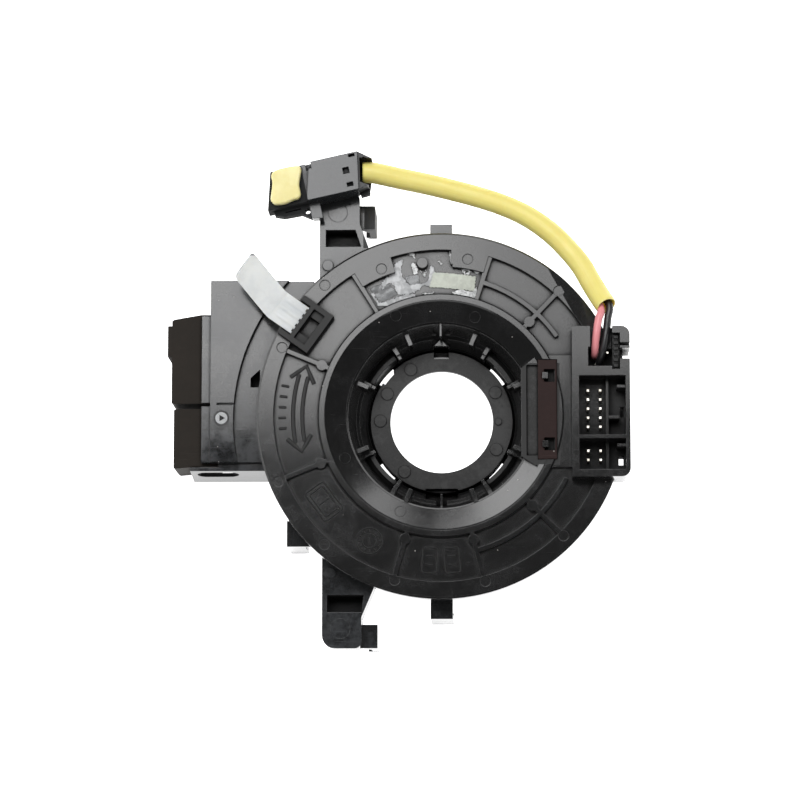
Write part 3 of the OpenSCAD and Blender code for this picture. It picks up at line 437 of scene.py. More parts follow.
class Group(Nodes):
    """Nodes of a new group with one value as its output.

    Attributes:
        given: Sockets of the group's inputs, in their order.
    """

    def __init__(self, name: str, **inputs: str) -> None:
        """Makes the group with its inputs and its output.

        Args:
            name: Name of the group.
            **inputs: The kind of each input, Vector or Float, by its name.
        """
        super().__init__(bpy.data.node_groups.new(name, "ShaderNodeTree"))
        for title, kind in inputs.items():
            self.tree.interface.new_socket(name=title, in_out="INPUT", socket_type="NodeSocket" + kind)
        self.tree.interface.new_socket(name="Value", in_out="OUTPUT", socket_type="NodeSocketFloat")
        self.given = self.tree.nodes.new("NodeGroupInput").outputs[: len(inputs)]

    def give(self, value: Socket) -> Tree:
        """Makes a socket the group's output and returns the group."""
        self.tree.links.new(value, self.tree.nodes.new("NodeGroupOutput").inputs[0])
        return self.tree


class SharedEffects:
    """Node groups that several finishes use, each built when it is first asked for."""

    @cached_property
    def grain(self) -> Tree:
        """Fine eroded grain of a mould: soft noise with small round cells in it, as a height.

        Returns:
            The node group.
        """
        group = Group("grain", Vector="Vector", Scale="Float")
        place, scale = group.given
        cells = group.add("TexVoronoi", {"Vector": place, "Scale": group.times(scale, 1.7)})
        pits = group.ramp(cells["Distance"], 0.1, 0.7)
        return group.give(group.more(pits, 0.45, group.noise(place, scale, 3.0)))

    @cached_property
    def haze(self) -> Tree:
        """Cloudy handling marks and mould haze, as a mask from 0 to 1.

        Returns:
            The node group.
        """
        group = Group("haze", Vector="Vector", Scale="Float")
        place, scale = group.given
        fine = group.noise(place, group.times(scale, 7.0), 4.0)
        both = group.more(fine, 0.45, group.noise(place, scale, 5.0, 0.6))
        return group.give(group.ramp(both, 0.6, 0.9))

    @cached_property
    def scratches(self) -> Tree:
        """Hairline scratches in two directions, broken up by noise, as a mask from 0 to 1.

        Returns:
            The node group.
        """
        group = Group("scratches", Vector="Vector", Amount="Float")
        place, amount = group.given
        masks = []
        for heading, across in ((0.5, 2600.0), (-0.95, 2100.0)):
            inputs = {"Vector": place, "Rotation": (0, 0, heading), "Scale": (55, across, 300)}
            masks.append(group.ramp(group.noise(group.add("Mapping", inputs)[0], 1.0, 1.0), 0.69, 0.76))
        bare = group.ramp(group.noise(place, 130.0, 2.0), 0.45, 0.62)
        return group.give(group.times(group.times(group.most(*masks), bare), amount, clamp=True))

    @cached_property
    def dust(self) -> Tree:
        """Small pale specks in some cells of a Voronoi pattern, as a mask from 0 to 1.

        Returns:
            The node group.
        """
        group = Group("dust", Vector="Vector", Amount="Float")
        place, amount = group.given
        cells = group.add("TexVoronoi", {"Vector": place, "Scale": 700.0})
        shade = group.add("SeparateColor", {0: cells["Color"]})[0]
        chosen = group.maths("GREATER_THAN", shade, group.maths("SUBTRACT", 1.0, amount))
        return group.give(group.times(group.ramp(cells["Distance"], 0.16, 0.08), chosen))

    @cached_property
    def crevice(self) -> Tree:
        """Corners and pits that little light reaches within a reach, as a mask from 0 to 1.

        Returns:
            The node group.
        """
        group = Group("crevice", Reach="Float", Open="Float", Shut="Float")
        reach, bright, dark = group.given
        light = group.add("AmbientOcclusion", {"Distance": reach}, samples=5)["AO"]
        return group.give(group.ramp(light, bright, dark))

    @cached_property
    def box(self) -> Tree:
        """A box in the part's own axes, as a mask that falls from 1 to 0 across a soft border broken up by noise.

        Returns:
            The node group.
        """
        group = Group("box", Vector="Vector", Middle="Vector", Half="Vector", Soft="Float")
        place, middle, half, soft = group.given
        reach = group.vectors("ABSOLUTE", group.vectors("SUBTRACT", place, middle)[0])[0]
        axes = group.add("SeparateXYZ", {0: group.vectors("SUBTRACT", reach, half)[0]})
        past = group.maths("DIVIDE", group.most(group.most(axes[0], axes[1]), axes[2]), soft)
        border = group.ramp(group.noise(place, 260.0, 5.0), 0.3, 0.7)
        return group.give(group.maths("SUBTRACT", border, past, clamp=True))

    @cached_property
    def worn_edge_and_highlight(self) -> Tree:
        """Edges where a rounded normal leaves the true one, broken up by noise, as a mask from 0 to 1. Lightened,
        they stand for worn edges and painted edge highlights.

        Returns:
            The node group.
        """
        group = Group("worn_edge_and_highlight", Vector="Vector", Radius="Float")
        place, radius = group.given
        true = group.add("NewGeometry")["Normal"]
        facing = group.vectors("DOT_PRODUCT", group.bevel(radius, 4), true)["Value"]
        broken = group.ramp(group.noise(place, 420.0, 4.0), 0.38, 0.6, 0.25, 1.0)
        return group.give(group.times(group.ramp(facing, 0.985, 0.86), broken))


EFFECTS = SharedEffects()


@dataclass(frozen=True)
class Finish:
    """What every finish has.

    Attributes:
        name: Name of the finish.
        tint: Colour of the clean surface.
        shade: Colour of its hazy, streaky, soiled or tarnished places.
        roughness: Roughness of the clean surface.
    """

    name: str
    tint: Colour
    shade: Colour
    roughness: float

    def sockets(self, nodes: Nodes, place: Socket) -> dict[str, object]:
        """Works out what the finish gives the shader.

        Args:
            nodes: The material's nodes.
            place: Object coordinates.

        Returns:
            An output socket or a value for each of the shader's inputs that the finish sets.
        """
        raise NotImplementedError

    def material(self) -> Material:
        """Builds the finish's material, whose only shader is the Principled one.

        Returns:
            The new material.
        """
        material = bpy.data.materials.new(self.name)
        material.use_nodes = True
        nodes = Nodes(material.node_tree)
        place = nodes.add("TexCoord")["Object"]
        nodes.fill(nodes.tree.nodes["Principled BSDF"], self.sockets(nodes, place))
        return material


@dataclass(frozen=True)
class SurfacePlace:
    """A box in which a moulding is darkened and made duller as painted shade, or more polished than elsewhere.

    Attributes:
        middle: Middle of the box.
        half: Half sizes of the box.
        soft: Width of its border.
        depth: How strongly painted shade blackens and dulls it, from 0 to 1.
        polish: What its polish takes off the roughness.
    """

    middle: Point
    half: Point
    soft: float = 0.1
    depth: float = 0.62
    polish: float = 0.0

    def mask(self, nodes: Nodes, place: Socket) -> Socket:
        """The box as a mask from 0 to 1."""
        middle, half = (tuple(MM * v for v in size) for size in (self.middle, self.half))
        return nodes.effect(EFFECTS.box, place, middle, half, self.soft * MM)


@dataclass(frozen=True)
class Moulding(Finish):
    """Moulded plastic with grain, haze, scratches, dust, softened edges that are painted lighter as wear and as edge
    highlights, and painted shade that darkens its corners, pits and some boxes.

    Attributes:
        haze: How strongly the haze shows, from 0 to 1.
        grain: Depth of the grain.
        scratches: How strongly scratches show.
        dust: Share of the dust cells that hold a speck.
        edge: Radius of the softened edges.
        worn: How strongly worn edges show, lightened partly as wear and partly as painted edge highlights, from 0 to
            1.
        gloss: Strength of the mirror reflection, 0.5 for common plastic.
        painted_shade_end: Direction in the plane and distance from the axis, in metres, past which the plastic is
            painted black as painted shade.
        places: Boxes in which it is darkened and made duller as painted shade, or more polished.
    """

    haze: float = 0.5
    grain: float = 0.0015
    scratches: float = 0.5
    dust: float = 0.03
    edge: float = 0.18
    worn: float = 0.35
    gloss: float = 0.5
    painted_shade_end: Point | None = None
    places: tuple[SurfacePlace, ...] = ()

    # Scales of the haze, the grain and the speckle, then how far narrow corners and deep pits reach
    HAZE_SCALE, GRAIN_SCALE, SPECKLE_SCALE = 95.0, 3200.0, 4000.0
    NARROW, DEEP = 1.1 * MM, 9 * MM

    def sockets(self, nodes: Nodes, place: Socket) -> dict[str, object]:
        """Mixes the colours by haze, marks and dust, then paints shade into corners, pits and the finish's places by
        darkening and dulling them, and polishes places that ask for it.

        Args:
            nodes: The material's nodes.
            place: Object coordinates.

        Returns:
            The shader's inputs.
        """
        haze = nodes.effect(EFFECTS.haze, place, self.HAZE_SCALE)
        scratch = nodes.effect(EFFECTS.scratches, place, self.scratches)
        dust = nodes.effect(EFFECTS.dust, place, self.dust)
        edge = nodes.effect(EFFECTS.worn_edge_and_highlight, place, self.edge * MM)
        grain = nodes.effect(EFFECTS.grain, place, self.GRAIN_SCALE)
        speckle = nodes.effect(EFFECTS.grain, place, self.SPECKLE_SCALE)
        # Scratches and worn edges are painted lighter; the lightened edges also serve as painted edge highlights
        marks = nodes.most(scratch, nodes.times(edge, self.worn), clamp=True)
        cloudy = nodes.more(nodes.ramp(speckle, 0.5, 1.1), 0.4, nodes.times(haze, self.haze))
        colour = nodes.blend(cloudy, self.tint, self.shade)
        colour = nodes.blend(marks, colour, opaque(min(1.0, 2.2 * c + 0.03) for c in self.shade[:3]))
        colour = nodes.blend(nodes.times(dust, 0.6), colour, DUST_COLOUR)
        dulled = nodes.more(haze, 0.07 * self.haze, self.roughness)
        dulled = nodes.more(nodes.ramp(speckle, 0.6, 1.1), 0.035, dulled)
        dulled = nodes.more(dust, 0.3, nodes.more(marks, 0.15, dulled), clamp=True)
        # Painted shade in corners, pits, past the shaded end and in the places' boxes; it darkens the colour and
        # raises the roughness
        painted_shade = self.painted_crevice_shade(nodes, place)
        for box in self.places:
            inside = box.mask(nodes, place)
            painted_shade = nodes.most(painted_shade, nodes.times(inside, box.depth))
            dulled = nodes.more(inside, -box.polish, dulled)
        return {
            "Base Color": nodes.blend(painted_shade, colour, opaque(0.3 * c for c in self.tint[:3])),
            "Roughness": nodes.more(painted_shade, 0.75, dulled, clamp=True),
            "Normal": nodes.bump(grain, self.grain, Strength=1.0, Normal=nodes.bevel(self.edge * MM)),
            "Specular IOR Level": self.gloss,
        }

    def painted_crevice_shade(self, nodes: Nodes, place: Socket) -> Socket:
        """Painted shade: narrow corners, deep pits and the plastic past the shaded end, as a mask from 0 to 1.

        Args:
            nodes: The material's nodes.
            place: Object coordinates.

        Returns:
            The mask's socket.
        """
        near = nodes.effect(EFFECTS.crevice, self.NARROW, 0.86, 0.5)
        deep = nodes.effect(EFFECTS.crevice, self.DEEP, 0.62, 0.3)
        painted_shade = nodes.most(nodes.times(near, 0.9), deep)
        if self.painted_shade_end:
            along_x, along_y, start = self.painted_shade_end
            along = nodes.vectors("DOT_PRODUCT", place, (along_x, along_y, 0.0))["Value"]
            painted_shade = nodes.most(painted_shade, nodes.times(nodes.ramp(along, start, start + 0.2 * MM), 0.9))
        return painted_shade


@dataclass(frozen=True)
class Sheathing(Finish):
    """Extruded soft plastic of a sleeve or a wire, with fine lines along it.

    Attributes:
        depth: How far light spreads in it, or 0.
    """

    depth: float = 0.0

    HAZE_SCALE, GRAIN_SCALE, DUST = 160.0, 2600.0, 0.04

    def sockets(self, nodes: Nodes, place: Socket) -> dict[str, object]:
        """Draws the lines along the tube's own map and streaks, hazes and dusts the colour.

        Args:
            nodes: The material's nodes.
            place: Object coordinates.

        Returns:
            The shader's inputs.
        """
        route = nodes.add("UVMap", uv_map="route")[0]
        lines = nodes.noise(nodes.add("Mapping", {"Vector": route, "Scale": (1.2, 46, 1)})[0], 1.0, 3.0)
        haze = nodes.effect(EFFECTS.haze, place, self.HAZE_SCALE)
        dust = nodes.effect(EFFECTS.dust, place, self.DUST)
        grain = nodes.effect(EFFECTS.grain, place, self.GRAIN_SCALE)
        streaks = nodes.times(nodes.ramp(lines, 0.35, 0.75), 0.4)
        colour = nodes.blend(nodes.more(haze, 0.25, streaks, clamp=True), self.tint, self.shade)
        sockets = {
            "Base Color": nodes.blend(nodes.times(dust, 0.5), colour, opaque(0.45 * c for c in self.shade[:3])),
            "Roughness": nodes.more(haze, 0.12, self.roughness),
            "Normal": nodes.bump(nodes.more(grain, 0.4, lines), 0.02),
        }
        return sockets | (soaked(0.35, self.depth, (1.0, 0.75, 0.35)) if self.depth else {})


@dataclass(frozen=True)
class Plating(Finish):
    """Plated terminal metal with a slight tarnish."""

    HAZE_SCALE, EDGE = 420.0, 0.08 * MM

    def sockets(self, nodes: Nodes, place: Socket) -> dict[str, object]:
        """Clouds the metal with tarnish and rounds its edges.

        Args:
            nodes: The material's nodes.
            place: Object coordinates.

        Returns:
            The shader's inputs.
        """
        haze = nodes.effect(EFFECTS.haze, place, self.HAZE_SCALE)
        return {
            "Base Color": nodes.blend(haze, self.tint, self.shade),
            "Roughness": nodes.more(haze, 0.2, self.roughness),
            "Normal": nodes.bevel(self.EDGE),
            "Metallic": 1.0,
        }


@dataclass(frozen=True)
class MilkyPlastic(Finish):
    """Thin uncoloured or pale plastic that light soaks into.

    Attributes:
        depth: How far light spreads in it.
    """

    depth: float

    HAZE_SCALE, GRAIN_SCALE, SCRATCHES, EDGE = 120.0, 1500.0, 0.35, 0.12 * MM

    def sockets(self, nodes: Nodes, place: Socket) -> dict[str, object]:
        """Clouds the colour, scratches the gloss and grains the surface.

        Args:
            nodes: The material's nodes.
            place: Object coordinates.

        Returns:
            The shader's inputs.
        """
        haze = nodes.effect(EFFECTS.haze, place, self.HAZE_SCALE)
        scratch = nodes.effect(EFFECTS.scratches, place, self.SCRATCHES)
        grain = nodes.effect(EFFECTS.grain, place, self.GRAIN_SCALE)
        return {
            "Base Color": nodes.blend(nodes.times(haze, 0.6), self.tint, self.shade),
            "Roughness": nodes.more(scratch, 0.2, nodes.more(haze, 0.12, self.roughness)),
            "Normal": nodes.bump(grain, 0.02, Normal=nodes.bevel(self.EDGE)),
        } | soaked(0.5, self.depth, (1.0, 0.9, 0.75))


@dataclass(frozen=True)
class LabelRemains(Finish):
    """Paper or film left by a torn label, partly see-through.

    Attributes:
        thin: Alpha where it is worn thin.
        thick: Alpha where it is whole.
        spread: Scale of its worn places.
    """

    thin: float
    thick: float
    spread: float = 520.0

    HAZE_SCALE, FIBRE_SCALE = 210.0, 1900.0

    def sockets(self, nodes: Nodes, place: Socket) -> dict[str, object]:
        """Soils the colour, and thins and roughens the sheet by worn places and fibres.

        Args:
            nodes: The material's nodes.
            place: Object coordinates.

        Returns:
            The shader's inputs.
        """
        haze = nodes.effect(EFFECTS.haze, place, self.HAZE_SCALE)
        fibre = nodes.noise(place, self.FIBRE_SCALE, 4.0)
        worn = nodes.noise(place, self.spread, 3.0, 1.2)
        return {
            "Base Color": nodes.blend(nodes.times(haze, 0.7), self.tint, self.shade),
            "Alpha": nodes.ramp(nodes.more(fibre, 0.12, worn), 0.44, 0.66, self.thin, self.thick),
            "Normal": nodes.bump(nodes.maths("ADD", worn, fibre), 0.03),
            "Roughness": self.roughness,
        }


@dataclass(frozen=True)
class Backdrop(Finish):
    """The floor's plain white, which glows in its shade colour.

    Attributes:
        glow: Strength of the glow.
    """

    glow: float = 1.3

    def sockets(self, nodes: Nodes, place: Socket) -> dict[str, object]:
        """Sets plain values.

        Args:
            nodes: The material's nodes.
            place: Object coordinates.

        Returns:
            The shader's inputs.
        """
        plain = {"Base Color": self.tint, "Roughness": self.roughness}
        return plain | {"Emission Color": self.shade, "Emission Strength": self.glow}


def opaque(channels: Iterable[float]) -> Colour:
    """A colour of three channels with full alpha."""
    return (*channels, 1.0)


def soaked(weight: float, depth: float, spread: Point) -> dict[str, object]:
    """Shader inputs of plastic that light soaks into.

    Args:
        weight: Share of the light that soaks in.
        depth: How far it spreads.
        spread: Relative spread of red, green and blue.

    Returns:
        The subsurface inputs.
    """
    return {"Subsurface Weight": weight, "Subsurface Scale": depth * MM, "Subsurface Radius": spread}


CASE_BLACK = Moulding(
    "case_black", (0.01, 0.0105, 0.011, 1), (0.034, 0.036, 0.039, 1), 0.09, 0.9, scratches=0.3, dust=0.015,
    # The first box is painted darker as painted shade; the second only polishes
    places=(SurfacePlace((-18.4, 55.5, 0), (3.6, 6.5, 20)), SurfacePlace((-52, -11, 0), (17, 8, 20), 3, 0, 0.07)),
)
ROTOR_BLACK = Moulding(
    "rotor_black", (0.006, 0.006, 0.006, 1), (0.018, 0.018, 0.0185, 1), 0.095, 0.4, scratches=0.12, dust=0.015,
    worn=0.6,
    # Both boxes are painted darker as painted shade
    places=(SurfacePlace((-40, 28, 19.5), (14, 14, 2.1)), SurfacePlace((27.8, 0.2, 16.8), (5.3, 14.2, 0.5))),
)
DIAL_GREY = Moulding("dial_grey", (0.42, 0.43, 0.44, 1), (0.5, 0.51, 0.52, 1), 0.35, scratches=0.1, dust=0.01)
MARK_BLACK = Moulding(
    "mark_black", (0.004, 0.004, 0.004, 1), (0.008, 0.008, 0.008, 1), 0.55, 0.3, scratches=0.0, dust=0.0
)
HUB_BLACK = Moulding(
    "hub_black", (0.004, 0.004, 0.004, 1), (0.034, 0.034, 0.034, 1), 0.38, 1.0, scratches=0.1, dust=0.01, gloss=0.25
)
SOCKET_BROWN = Moulding(
    "socket_brown", (0.017, 0.0135, 0.0105, 1), (0.026, 0.021, 0.017, 1), 0.7, 0.4, scratches=0.2, dust=0.01,
    gloss=0.2,
)
PLUG_GREY = Moulding(
    "plug_grey", (0.024, 0.026, 0.028, 1), (0.05, 0.053, 0.057, 1), 0.2, scratches=0.15, dust=0.01,
    # The plug's far end past this plane is painted black as painted shade
    painted_shade_end=(-0.9759, -0.2181, 0.02283),
)
HOOD_GREY = Moulding(
    "hood_grey", (0.016, 0.017, 0.018, 1), (0.034, 0.036, 0.038, 1), 0.3, scratches=0.15, dust=0.01, gloss=0.3
)
COVER_BROWN = Moulding(
    "cover_brown", (0.022, 0.011, 0.01, 1), (0.032, 0.017, 0.016, 1), 0.5, scratches=0.3, gloss=0.12
)
INSIDE_BUFF = Moulding("inside_buff", (0.6, 0.56, 0.46, 1), (0.7, 0.66, 0.56, 1), 0.5, scratches=0.2)
SLEEVE_YELLOW = Sheathing("sleeve_yellow", (0.86, 0.74, 0.23, 1), (0.8, 0.66, 0.17, 1), 0.42, 1.2)
WIRE_RED = Sheathing("wire_red", (0.82, 0.31, 0.33, 1), (0.66, 0.18, 0.2, 1), 0.38)
WIRE_BLACK = Sheathing("wire_black", (0.008, 0.008, 0.009, 1), (0.02, 0.02, 0.022, 1), 0.3)
TIN = Plating("tin_plate", (0.9, 0.88, 0.82, 1), (0.6, 0.56, 0.48, 1), 0.25)
TAB_WHITE = MilkyPlastic("tab_white", (0.63, 0.65, 0.65, 1), (0.55, 0.57, 0.58, 1), 0.42, 1.2)
LOCK_YELLOW = MilkyPlastic("lock_yellow", (0.86, 0.79, 0.4, 1), (0.8, 0.71, 0.3, 1), 0.45, 0.8)
LABEL_FILM = LabelRemains("label_film", (0.42, 0.43, 0.44, 1), (0.34, 0.35, 0.36, 1), 0.3, 0.22, 0.5, 200.0)
LABEL_PAPER = LabelRemains("label_paper", (0.62, 0.63, 0.64, 1), (0.46, 0.47, 0.48, 1), 0.5, 0.5, 0.92, 300.0)
LABEL_SCRAP = LabelRemains("label_scrap", (0.8, 0.81, 0.81, 1), (0.6, 0.61, 0.61, 1), 0.5, 0.45, 1.0, 480.0)
LABEL_BLOCK = LabelRemains("label_block", (0.52, 0.55, 0.48, 1), (0.43, 0.45, 0.39, 1), 0.5, 0.9, 1.0)


@dataclass
class PackedNodes:
    """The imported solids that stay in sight.

    Attributes:
        finishes: Each finish with the names of its nodes.
    """

    finishes: tuple[tuple[Finish, tuple[str, ...]], ...] = (
        (CASE_BLACK, ("case",)),
        (ROTOR_BLACK, ("rotor_plate", "connector_block")),
        (HUB_BLACK, ("rear_cover", "case_lead_block", "retaining_sleeve", "rotor_lead_block", "wire_retainer")),
        (SOCKET_BROWN, ("upper_harness_socket", "lower_harness_socket")),
        (COVER_BROWN, ("terminal_cover",)),
        (PLUG_GREY, ("plug_body",)),
        (HOOD_GREY, ("plug_rear_hood",)),
        (INSIDE_BUFF, ("rear_slide_sheet", "front_slide_sheet", "flat_cable")),
        (
            TIN,
            (
                "upper_harness_terminals", "lower_harness_terminals", "ten_way_terminals", "four_way_terminals",
                "lead_terminals", "plug_terminals",
            ),
        ),
    )

    def dress(self) -> None:
        """Builds each finish once and gives it to its nodes."""
        for finish, names in self.finishes:
            material = finish.material()
            for name in names:
                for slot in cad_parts[name].material_slots:
                    slot.material = material
            LOG.info("%s dresses %s", finish.name, ", ".join(names))


@dataclass
class AirbagLead:
    """The airbag's lead: two wires in a soft sleeve, from the connector block's bay to the plug.

    Attributes:
        sleeve_route: Middle line of the sleeve.
        red_start: Middle line of the red wire, from its bay to the sleeve's mouth.
        black_start: Middle line of the black wire, likewise.
        sleeve_r: Outer radius of the sleeve.
        sleeve_wall: Wall of the sleeve.
        wire_r: Radius of a wire.
        wire_gap: Distance of a wire from the sleeve's middle line.
    """

    sleeve_route: tuple[Point, ...] = (
        (46.2, 29.8, 20.4), (44.6, 32.6, 18.6), (42.2, 36.9, 16.9), (39.3, 42.3, 15.5), (35.1, 47.7, 14.3),
        (30.4, 52.5, 13.2), (24.2, 57, 12.3), (17.2, 60.4, 11.7), (9.9, 62.9, 11.4), (2.7, 64.9, 11.3),
        (-4.4, 66.6, 11.5), (-11.4, 68, 12), (-17, 69.2, 12.6), (-19.6, 69.6, 12.9), (-22, 69.6, 13),
    )
    red_start: tuple[Point, ...] = (
        (42.9, 16.2, 17.2), (42.9, 16.6, 19.2), (43, 18.4, 21.1), (43.4, 22.2, 21.9), (44, 26, 21.5),
        (44.7, 28.9, 20.4),
    )
    black_start: tuple[Point, ...] = (
        (44, 14, 17.2), (44.3, 14.7, 19), (45.3, 17.8, 20.6), (46.1, 22.4, 20.9), (46.6, 26.4, 20.4),
        (47, 30.1, 20),
    )
    sleeve_r: float = 3.0
    sleeve_wall: float = 0.55
    wire_r: float = 1.05
    wire_gap: float = 1.15

    def tube(
        self, name: str, node: str, line: np.ndarray, rings: np.ndarray, finish: Sheathing
    ) -> None:
        """Args:
            name: Name of the piece.
            node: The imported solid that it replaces.
            line: Its middle line.
            rings: Its rings, one for each point of the line, or two where the tube is hollow.
            finish: Its finish.
        """
        rows, sides = rings.shape[:2]
        walls = rows // len(line)
        length = float(np.linalg.norm(np.diff(line, axis=0), axis=1).sum())
        piece = make_piece(name, loft(rings, walls > 1), finish.material(), Body.ROTOR)
        set_route_map(piece, rows, sides, walls * length)
        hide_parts(node)
        LOG.info("%s is %.1f mm long", name, length)

    def sleeve(self) -> None:
        """Makes the hollow sleeve: an outer and an inner tube that meet in round lips at both ends."""
        line = smooth_route(self.sleeve_route, 8)
        ends = np.minimum(np.arange(len(line)), np.arange(len(line))[::-1])
        lip = 0.2 * np.exp(-ends / 0.7)
        outer = tube_rings(line, self.sleeve_r - lip, 40, UP)
        inner = tube_rings(line, self.sleeve_r - self.sleeve_wall + lip / 2, 40, UP)
        rings = np.vstack([outer, inner[::-1]])
        self.tube("lead_sleeve_tube", "lead_sleeve", line, rings, SLEEVE_YELLOW)

    def wire(self, name: str, node: str, start: Sequence[Point], side: float, finish: Sheathing) -> None:
        """Makes one wire, from its bay into the sleeve and on beside the sleeve's middle line to the plug.

        Args:
            name: Name of the piece.
            node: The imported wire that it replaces.
            start: Points from the bay to the sleeve's mouth.
            side: Side of the sleeve on which it lies, 1 or -1.
            finish: Its finish.
        """
        steps = 6
        inside = smooth_route(self.sleeve_route, 2)[3:-2]
        beside = unit(np.cross(unit(np.gradient(inside, axis=0)), UP))
        line = smooth_route(np.vstack([start, inside + side * self.wire_gap * beside]), steps)
        share = np.clip(np.arange(len(line)) / (steps * len(start)), 0, 1)[:, None]
        across = (1 - share) * np.array([1.0, 0.0, 0.0]) + share * UP
        rings = tube_rings(line, np.full(len(line), self.wire_r), 20, across)
        self.tube(name, node, line, rings, finish)

    def build(self) -> None:
        """Makes the sleeve and the two wires."""
        self.wire("red_lead_wire", "red_wire", self.red_start, -1, WIRE_RED)
        self.wire("black_lead_wire", "black_wire", self.black_start, 1, WIRE_BLACK)
        self.sleeve()


@dataclass
class LockTab:
    """The strip that locks the rotor until the wheel is fitted.

    Its own axes run outwards along the strip (u) and across it (v).

    Attributes:
        heading: Angle of u to the X axis, in degrees.
        offset: Offset of the strip from the steering axis.
        inner: Distance of the inner end from the axis.
        bend: Distance of the bend from the axis.
        outer: Distance of the outer end from the axis.
        sway: Sideways reach of the outer part.
        width: Width of the strip.
        corner: Radius of the outer end's corners.
        ribs: Places of the low ribs across the strip.
        rib_size: Half width and height of a rib.
        tooth: Depth of the inner end's teeth.
        crease: Depth of the crease at the bend.
        curl: Rise of the outer part for the square of its length.
        thickness: Thickness of the strip.
        base_z: Height of its underside.
    """

    heading: float = 144.3
    offset: float = -1.35
    inner: float = 46.1
    bend: float = 54.9
    outer: float = 69.6
    sway: float = -4.0
    width: float = 8.8
    corner: float = 1.3
    ribs: Point = (-2.5, -0.1, 2.4)
    rib_size: Pair = (0.38, 0.13)
    tooth: float = 0.28
    crease: float = 0.1
    curl: float = 0.0045
    thickness: float = 0.5
    base_z: float = 17.4

    def top(self, rows: int, columns: int) -> np.ndarray:
        """Works out the strip's upper face.

        Across the strip v runs from side to side. Along it, u runs from a toothed inner end to an outer end
        whose corners are quarter circles. Past the bend the middle line swings aside in proportion to u and
        rises a little as a parabola. Three low ribs run along the inner part and fade at the bend.

        Args:
            rows: Points along the strip.
            columns: Points across it.

        Returns:
            Array of (rows, columns, 3).
        """
        side = np.linspace(-1, 1, columns)[None, :]
        across = side * self.width / 2
        over = np.clip(np.abs(across) - (self.width / 2 - self.corner), 0, self.corner)
        end = self.outer - self.corner + np.sqrt(np.maximum(self.corner**2 - over**2, 0))
        teeth = self.tooth * np.abs(np.sin(2.6 * across)) * (0.6 + 0.4 * np.cos(1.3 * across + 0.7))
        start = self.inner + teeth
        share = np.linspace(0, 1, rows)[:, None]
        u = start + share * (end - start)
        past = np.clip(u - self.bend, 0, None)
        swing = self.sway / (self.outer - self.bend)
        v = across + swing * (np.hypot(past, 1.0) - 1.0)
        rib_width, rib_height = self.rib_size
        ribs = sum(np.exp(-(((across - middle) / rib_width) ** 2)) for middle in self.ribs)
        fade = 1 / (1 + np.exp(2.4 * (u - self.bend + 1.2)))
        crease = -self.crease * np.exp(-(((u - self.bend - 0.25 * side) / 0.3) ** 2))
        rise = self.curl * past**2 + 0.05 * np.sin(0.9 * past) * np.clip(past / 8, 0, 1)
        z = self.base_z + self.thickness + rib_height * ribs * fade + crease + rise
        along, beside = polar(1.0, np.array([self.heading, self.heading + 90]))
        plane = u[..., None] * along + (v - self.offset)[..., None] * beside
        return np.concatenate([plane, z[..., None]], axis=-1)

    def build(self) -> None:
        """Makes the strip from its upper and lower face, joined round the rim."""
        top = self.top(72, 45)
        low = top.copy()
        low[..., 2] = np.maximum(low[..., 2] - self.thickness, self.base_z)
        rings = np.concatenate([top[:, ::-1], low], axis=1)
        piece = make_piece("lock_tab_strip", loft(rings, False), TAB_WHITE.material(), Body.LOCK_TAB)
        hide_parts("lock_tab")


